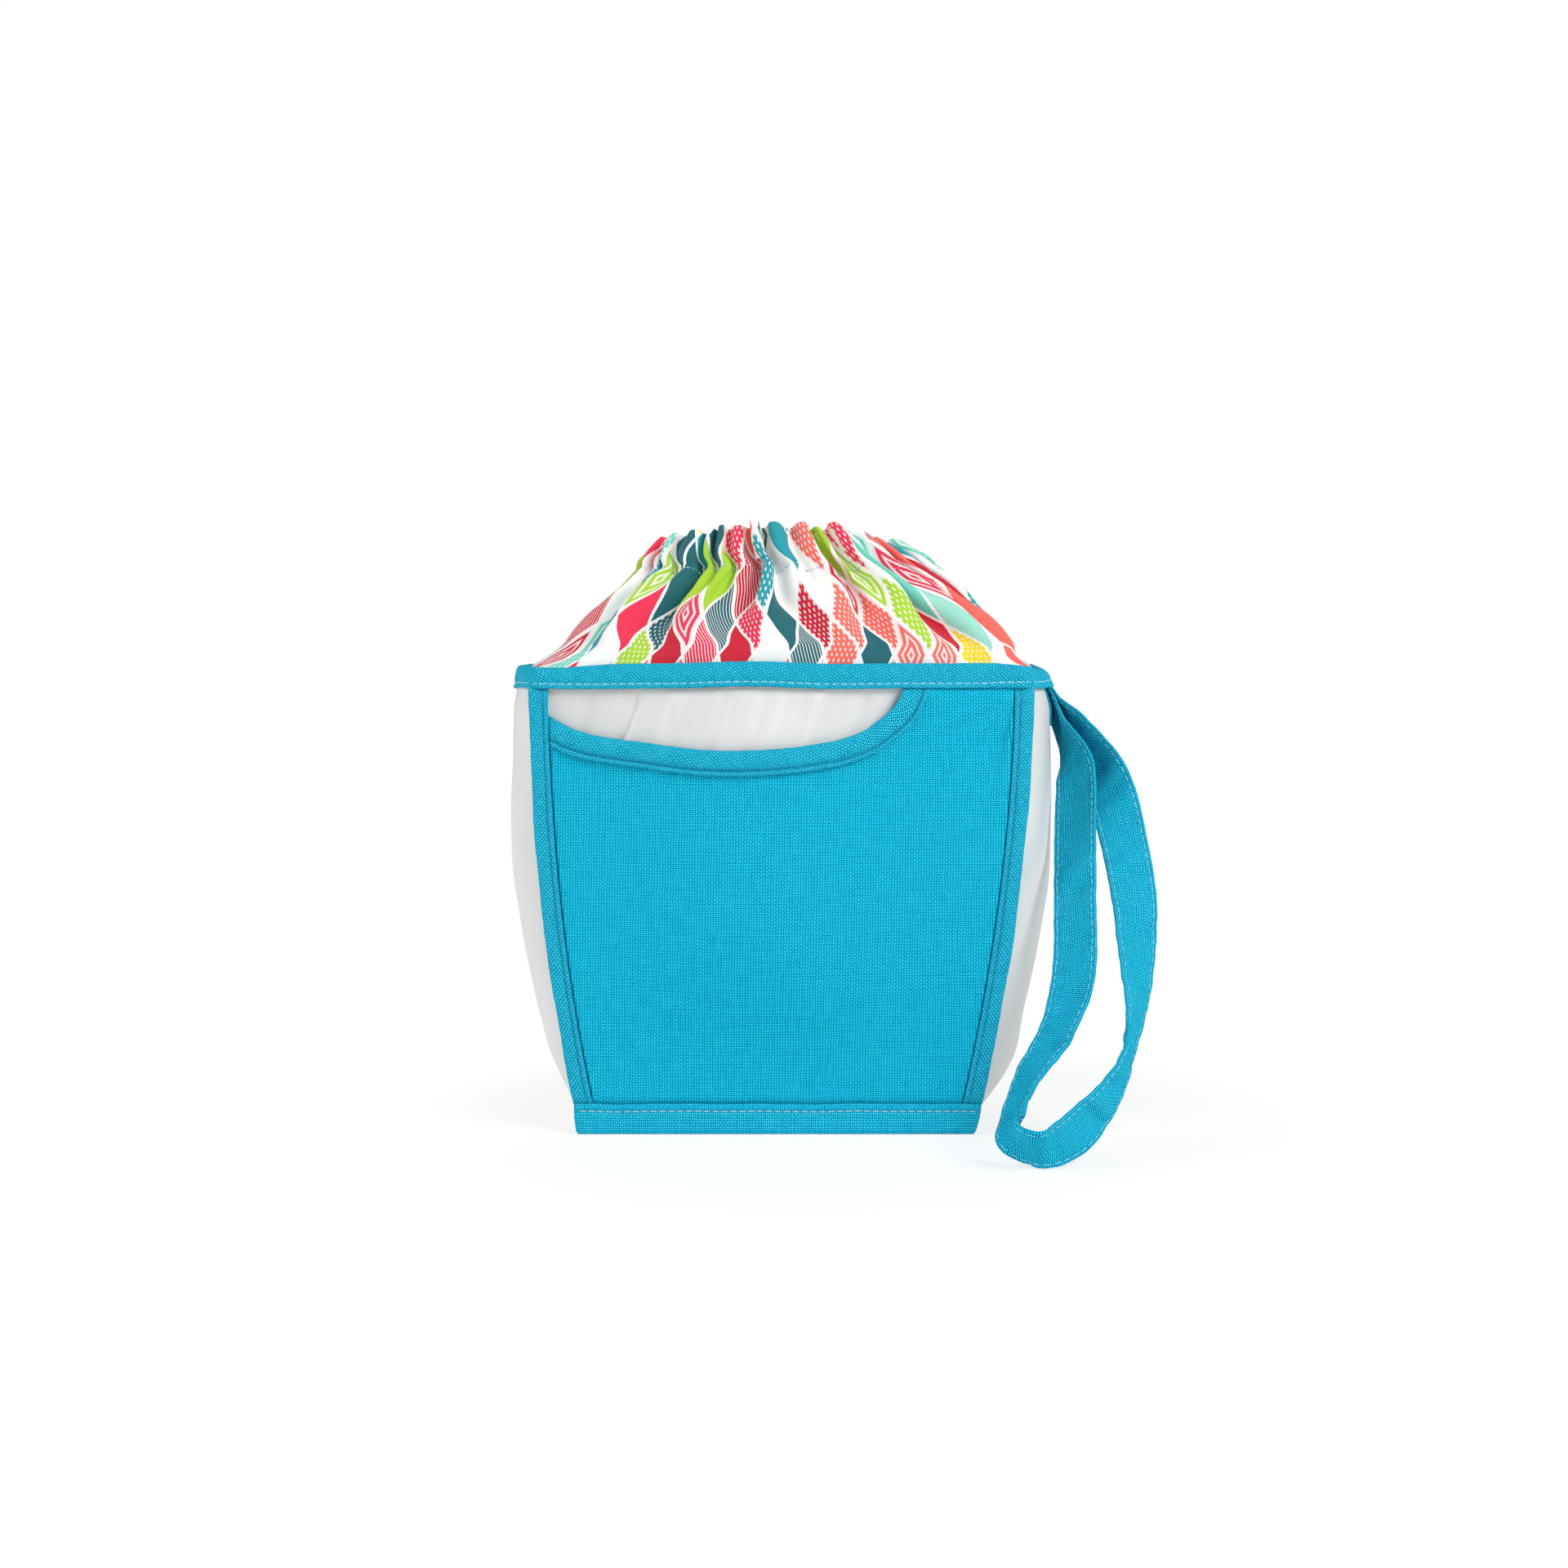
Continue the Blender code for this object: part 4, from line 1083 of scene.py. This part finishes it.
def woven_elastic():
    """Woven elastic: cream polyester yarn over rubber cores, which show as close ribs along the band."""
    rib = 0.0012
    made, tree, shader = new_material("woven elastic")
    flat = node(tree, "TexCoord").node.outputs["UV"]
    split = node(tree, "SeparateXYZ", [flat]).node
    ribs = node(tree, "Math", [split.outputs[1], rib / 2], operation="PINGPONG")
    ribs = node(tree, "Math", [ribs, 2 / rib], operation="MULTIPLY")
    colour = node(tree, "ValToRGB", [ribs])
    set_stops(colour.node.color_ramp, [(0.0, "#d8d2c2"), (1.0, "#f1ede2")])
    bump = node(tree, "Bump", {"Height": ribs, "Strength": 0.6, "Distance": 0.0003})
    feed(shader, {"Base Color": colour, "Normal": bump, "Roughness": 0.75})
    return made


def elastic_place(u, w):
    """Place of the elastic, midway between the casing's face and its turned-in lining."""
    column = np.rint(u * TOP_COLUMNS / 2).astype(int) * 2
    edges = []
    for share in (ELASTIC_FOOT, ELASTIC_HEAD):
        row = nearest_row(top_marks[2] + share * CASING_LENGTH)
        edges.append((top_grid[row, column] + top_grid[TOP_ROWS - (row - seam_row), column]) / 2)
    spots = edges[0] * (1 - w[:, None]) + edges[1] * w[:, None]
    return spots.T, (u * WAIST_LENGTH, w * CASING_LENGTH * (ELASTIC_HEAD - ELASTIC_FOOT))


elastic = make_sheet(
    "mouth_elastic_band", TOP_COLUMNS // 2, ELASTIC_ROWS, elastic_place, ELASTIC, woven_elastic(),
    ring=True,
)
set_on_bag(elastic, "mouth_elastic")


# Wrist strap: canvas folded in four and stitched along both edges into a flat tape. Its two ends lie on
# each other under the waist band at the right side, and the loop hangs down to the floor with a twist.
STRAP_WIDTH = 0.0185
STRAP_HALF = 0.0008
STRAP_AXIS = np.array([0.1097, -0.008, 0.1662])
STRAP_ROWS = 330
STRAP_SEAM_MARGIN = 0.004
STRAP_PUCKER = (0.00026, 0.0085)
STRAP_BOW = (0.0008, 0.022)
STRAP_DENT = 0.0018
STRAP_DENT_LENGTH = 0.030
STRAP_FREE_SPAN = (0.006, 0.02)
STRAP_PRESSED = 0.68
STRAP_PLUMP_SPAN = (0.003, 0.012)
FLOOR_GAP = 0.00005
# Points down the near leg, along the floor and up the far leg: distance to the right of the hinge,
# distance in front of it, drop below it, and the turn of the tape's face in degrees
STRAP_ROUTE = (
    (-0.0030, 0.0, -0.0046, 90),
    (-0.0022, 0.0, 0.0, 90),
    (-0.0014, 0.0015, 0.0092, 86),
    (0.0004, 0.006, 0.0165, 82),
    (0.0028, 0.012, 0.0235, 70),
    (0.0042, 0.019, 0.032, 51),
    (0.0026, 0.030, 0.052, 46),
    (0.0006, 0.045, 0.078, 46),
    (-0.0020, 0.060, 0.106, 46),
    (-0.0094, 0.0685, 0.125, 65),
    (-0.0198, 0.078, 0.138, 78),
    (-0.0268, 0.087, 0.1494, 83),
    (-0.0282, 0.0945, 0.1560, 68),
    (-0.0218, 0.1010, 0.1590, 42),
    (-0.0138, 0.0985, 0.1585, 28),
    (-0.0043, 0.0925, 0.1546, 25),
    (0.0046, 0.0860, 0.1476, 41),
    (0.0124, 0.0795, 0.1386, 57),
    (0.0170, 0.0732, 0.1295, 69),
    (0.0200, 0.065, 0.116, 58),
    (0.0222, 0.054, 0.098, 36),
    (0.0230, 0.043, 0.078, 16),
    (0.0205, 0.030, 0.055, 4),
    (0.0158, 0.019, 0.033, -34),
    (0.0066, 0.010, 0.0165, -66),
    (0.0008, 0.0020, 0.0074, -84),
    (-0.0011, 0.0, 0.0, -90),
    (-0.0019, 0.0, -0.0046, -90),
)
# Half of the section's upper side, from the edge to the middle: distance from the middle line, and height
STRAP_SIDE = (
    (0.0090, 0.00062), (0.0082, 0.00086), (0.0074, 0.00044), (0.0066, 0.00080),
    (0.0035, 0.00082),
)
STRAP_MIDDLE = (0.0, 0.00078)
strap_upper = [(-across, height) for across, height in STRAP_SIDE]
strap_upper += [STRAP_MIDDLE, *STRAP_SIDE[::-1]]
strap_lower = [(across, -height) for across, height in strap_upper[::-1]]
strap_section = [(-STRAP_WIDTH / 2, 0.0), *strap_upper, (STRAP_WIDTH / 2, 0.0), *strap_lower]
STRAP_GROOVE = (0.0074, 0.00076)
route = np.array(STRAP_ROUTE)
route_points = np.column_stack([route[:, 0], -route[:, 1], -route[:, 2]]) + STRAP_AXIS
route_run = running(np.linalg.norm(np.diff(route_points, axis=0), axis=1))
strap_length = route_run[-1]


def strap_frame(share, stretch):
    """Middle of the strap at a share of its length, with the directions across its width and face."""
    def middle_at(part):
        line = smooth_curve(route_run, route_points, np.clip(part, 0, 1) * strap_length)
        line[:, 2] = STRAP_AXIS[2] + (line[:, 2] - STRAP_AXIS[2]) * stretch
        return line
    middle = middle_at(share)
    nearby = 0.002
    going = unit(middle_at(share + nearby) - middle_at(share - nearby))
    roll = np.radians(smooth_curve(route_run, route[:, 3], np.clip(share, 0, 1) * strap_length))
    inward = unit(np.column_stack([-going[:, 2], np.zeros(len(going)), going[:, 0]]))
    width = inward * np.cos(roll) + np.array([0, -1.0, 0]) * np.sin(roll)
    width = unit(width - going * np.sum(width * going, axis=1, keepdims=True))
    return middle, width, np.cross(going, width)


def strap_place(stretch):
    """Place of the strap's surface: puckered along its stitches, bowed and dented between them."""
    def place(across, height, share):
        middle, width, face = strap_frame(share, stretch)
        distance = share * strap_length
        ends = np.minimum(distance, strap_length - distance)
        free = ease(ends, *STRAP_FREE_SPAN)
        pucker = wave(distance + across * 0.4, STRAP_PUCKER, 71)
        hollow = 1 - (2 * across / STRAP_WIDTH) ** 2
        bow = wave(distance + 0.5 * across, STRAP_BOW, 73)
        nearness = 1 - np.abs(ripple(distance + 0.35 * across, STRAP_DENT_LENGTH, 77))
        bow = bow - STRAP_DENT * np.maximum(nearness, 0) ** 2
        plump = STRAP_PRESSED + (1 - STRAP_PRESSED) * ease(ends, *STRAP_PLUMP_SPAN)
        points = middle + width * across[:, None]
        points = points + face * (height * plump + free * (pucker + bow * hollow))[:, None]
        x, y, z = points.T
        return x + lean(x, z), y, np.maximum(z, FLOOR_GAP)
    return place


strap_stretch = 1.0
for _ in range(6):
    shares = np.linspace(0, 1, 400)
    middle, width, face = strap_frame(shares, strap_stretch)
    reach_down = np.abs(width[:, 2]) * STRAP_WIDTH / 2 + np.abs(face[:, 2]) * STRAP_HALF
    lowest = np.min(middle[:, 2] - reach_down)
    strap_stretch *= STRAP_AXIS[2] / (STRAP_AXIS[2] - lowest)
place = strap_place(strap_stretch)
strap_canvas = woven_canvas("folded cotton canvas strap", ("#006282", "#00aed4", "#52e2f8"), 0.0, 0.38)
strap_thread = sewing_thread("light blue polyester thread", "#7ed8ee")
strap = fold_tape("wrist_strap_loop", strap_section, strap_length, STRAP_ROWS, place, strap_canvas)
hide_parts("wrist_strap")
strap_pieces = [strap]
for name, edge, face in (
    ("strap_stitches_near", -1, 1),
    ("strap_stitches_far", 1, 1),
    ("strap_stitches_near_back", -1, -1),
    ("strap_stitches_far_back", 1, -1),
):
    groove = (edge * STRAP_GROOVE[0], face * STRAP_GROOVE[1])
    rise = (0, face * STITCH_RISE)
    seam = sew_along(name, place, groove, rise, strap_length, strap_thread, STRAP_SEAM_MARGIN)
    strap_pieces.append(seam)
for piece in strap_pieces:
    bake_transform(piece)


# Strap anchor: the pressed raw ends of the strap, sewn flat against the right side. The waist band covers
# its upper edge, so only a short tab shows below.
ANCHOR = 0.001
ANCHOR_LAP = 0.002
anchor_low, anchor_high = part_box("strap_end")


def anchor_place(u, w):
    """Place of the anchor, flat on the bulging side and thinner at its edges."""
    z = anchor_low.z + (anchor_high.z + ANCHOR_LAP - anchor_low.z) * w
    y = anchor_low.y + (anchor_high.y - anchor_low.y) * u
    bulge = side_half(z) - seam_half(z)
    edge = ease(np.minimum(np.minimum(u, 1 - u) / 0.08, w / 0.12))
    x = seam_half(z) + bulge * np.sqrt(1 - (y / SEAM_DEPTH) ** 2)
    x = x + VINYL / 2 + CLEAR + ANCHOR * (0.35 + 0.15 * edge)
    return (x + lean(x, z), y, z), (y, z)


anchor = make_sheet("strap_anchor", 24, 18, anchor_place, ANCHOR * 0.8, strap_canvas)
set_on_bag(anchor, "strap_end")


# Waist band: a strip of the same canvas cut on the bias, folded over the top edges of the walls, the
# pocket and the skirt of the top, and sewn through everything with one row of pale stitches.
FRONT_THICKER = 0.0010
STRAP_BULGE = 0.0032
TAPE_BULGE = 0.0006
TAPE_BULGE_PLACE = 0.0025
TAPE_BULGE_WIDTH = 0.004
STRAP_BULGE_WIDTH = 0.013
BAND_OUTER_SPAN = (-0.0002, 0.001)
BAND_UPPER_SPAN = (0.002, 0.007)
FRONT_SPAN = (0.040, 0.008)
RIGHT_END_SPAN = (0.074, 0.03)
LEFT_END_X = -0.088
LEFT_END_WIDTH = 0.016
RIGHT_END_SWELL = 0.0016
RIGHT_END_DROP = 0.0018
LEFT_END_DROP = 0.0016
BAND_WAVE = (0.0002, 0.033)
BAND_PUCKER = (0.00010, 2 * STITCH_PITCH)
BAND_SAG = (0.0006, 0.085)
BAND_TO_WALL = 0.985
BAND_GROOVE = (0.00155, 0.0020)
# Section of the band: distance out from the wall, and height above the band's lower edge
BAND_SECTION = (
    (0.0008, 0.0001), (0.0016, 0.0000), (0.0020, 0.0007), (0.0019, 0.0014),
    (0.0014, 0.0020), (0.0018, 0.0026), (0.0021, 0.0042), (0.0020, 0.0065),
    (0.0016, 0.0085), (0.0007, 0.0096), (-0.0007, 0.0096), (-0.0015, 0.0088),
    (-0.0019, 0.0070), (-0.0019, 0.0042), (-0.0017, 0.0020), (-0.0019, 0.0008),
    (-0.0015, 0.0000), (-0.0009, 0.0001), (-0.0008, 0.0030), (-0.0007, 0.0075),
    (0.0007, 0.0075), (0.0007, 0.0030),
)
BAND_HEIGHT = max(height for _, height in BAND_SECTION)


def band_place(out, height, share):
    """Place of the band: thicker over the pocket, the side tapes and the strap, and lower at its ends."""
    distance = share * WAIST_LENGTH
    x, y, away = round_waist(distance, 0.0)
    outer = ease(out, *BAND_OUTER_SPAN)
    front = ease(np.abs(y), *FRONT_SPAN)
    from_tape = np.abs(x) - SEAM_HALF_WAIST - TAPE_BULGE_PLACE
    over_tape = np.exp(-(from_tape / TAPE_BULGE_WIDTH) ** 2) * front
    lower = 1 - ease(height, *BAND_UPPER_SPAN)
    over_strap = ease(1.35 - np.abs(y - STRAP_AXIS[1]) / STRAP_BULGE_WIDTH) * (x > 0) * lower
    facing = ease(0.6 - y / 0.03)
    right_end = ease(x, *RIGHT_END_SPAN) * facing
    left_end = np.exp(-((x - LEFT_END_X) / LEFT_END_WIDTH) ** 2) * facing
    level = height / BAND_HEIGHT
    swell = RIGHT_END_SWELL * right_end * np.sin(math.pi * level)
    drop = (RIGHT_END_DROP * right_end + LEFT_END_DROP * left_end) * level ** 2
    pucker = wave(distance, BAND_PUCKER, 83)
    bulge = FRONT_THICKER * front + TAPE_BULGE * over_tape + STRAP_BULGE * over_strap
    grown = out + outer * (bulge + wave(distance, BAND_WAVE, 81) + pucker)
    z = BAND_FOOT + height + swell - drop + wave(distance, BAND_SAG, 85) + pucker
    x = x + away[0] * grown
    y = y + away[1] * grown
    return x + lean(x * BAND_TO_WALL, z), y, z


band = fold_tape("waist_band", BAND_SECTION, WAIST_LENGTH, 360, band_place, bias_canvas, ring=True)
band_seam = sew_along(
    "waist_band_stitches", band_place, BAND_GROOVE, (STITCH_RISE, 0), WAIST_LENGTH, pale_thread,
)
set_on_bag(band, "waist_binding")
set_on_bag(band_seam)


# Stage: a white seamless floor, one broad soft light from the upper right and a weaker one from the left,
# and a level camera at the height of the waist, its lens shifted down to hold the bag.
CAMERA_PLACE = (0.0009, -0.7735, 0.1708)
HORIZON_PIXEL = 830
FRAME_PIXELS = 1920
FOCAL_PIXELS = 2361
SENSOR = 36.0
AIM_HEIGHT = 0.1
AMBIENT = 0.42


def seamless_floor():
    """White paper sweep: lit to white, so that only the soft shadow close to the bag shows on it."""
    shown = 0.74
    shadow_middle = (0.03, -0.03, 0.0)
    shadow_reach = 0.115
    fade = 0.07
    made, tree, unused_shader = new_material("white paper sweep")
    tree.nodes.remove(unused_shader)
    rays = node(tree, "LightPath").node.outputs
    seen = node(tree, "Math", [rays["Is Camera Ray"], rays["Is Glossy Ray"]], operation="MAXIMUM")
    seen = node(tree, "Math", [seen, rays["Is Transmission Ray"]], operation="MAXIMUM")
    place = node(tree, "TexCoord").node.outputs["Object"]
    away = node(tree, "VectorMath", [place, shadow_middle], operation="DISTANCE").node.outputs["Value"]
    white = node(tree, "MapRange", {
        "Value": away, "From Min": shadow_reach, "From Max": shadow_reach + fade, "To Min": shown,
    }, interpolation_type="SMOOTHSTEP")
    seen = node(tree, "Math", [seen, white], operation="MULTIPLY")
    paper = node(tree, "BsdfDiffuse", {"Color": srgb("#ffffff")})
    glow = node(tree, "Emission", {"Color": srgb("#ffffff"), "Strength": 1.0})
    surface = node(tree, "MixShader", [seen, paper, glow])
    feed(tree.nodes["Material Output"], {"Surface": surface})
    return made


bpy.ops.object.select_all(action="DESELECT")
bpy.ops.mesh.primitive_plane_add(size=12.0)
floor = bpy.context.object
floor.name = "floor"
floor.data.materials.append(seamless_floor())

world = bpy.data.worlds.new("studio")
bpy.context.scene.world = world
world.use_nodes = True
sky = world.node_tree
rays = node(sky, "LightPath").node.outputs
white = node(sky, "Math", [rays["Is Camera Ray"], rays["Is Transmission Ray"]], operation="MAXIMUM")
strength = node(sky, "MapRange", {"Value": white, "To Min": AMBIENT})
feed(sky.nodes["Background"], {"Color": srgb("#ffffff"), "Strength": strength})

for name, place, size, power in (
    ("key light", (1.05, -0.95, 1.1), 0.8, 20.0),
    ("fill light", (-1.4, -0.55, 0.8), 1.0, 11.5),
):
    bpy.ops.object.light_add(type="AREA", location=place)
    lamp = bpy.context.object
    lamp.name = name
    lamp.data.size = size
    lamp.data.energy = power
    aim = -np.array(place) + np.array([0, 0, AIM_HEIGHT])
    lamp.rotation_euler = (math.atan2(math.hypot(aim[0], aim[1]), -aim[2]), 0, math.atan2(-aim[0], aim[1]))

bpy.ops.object.camera_add(location=CAMERA_PLACE, rotation=(math.pi / 2, 0, 0))
camera = bpy.context.object
camera.data.sensor_width = SENSOR
camera.data.lens = FOCAL_PIXELS / FRAME_PIXELS * SENSOR
camera.data.shift_y = (HORIZON_PIXEL - FRAME_PIXELS / 2) / FRAME_PIXELS
camera.data.clip_start = 0.01
bpy.context.scene.camera = camera
bpy.context.scene.view_settings.view_transform = "Standard"
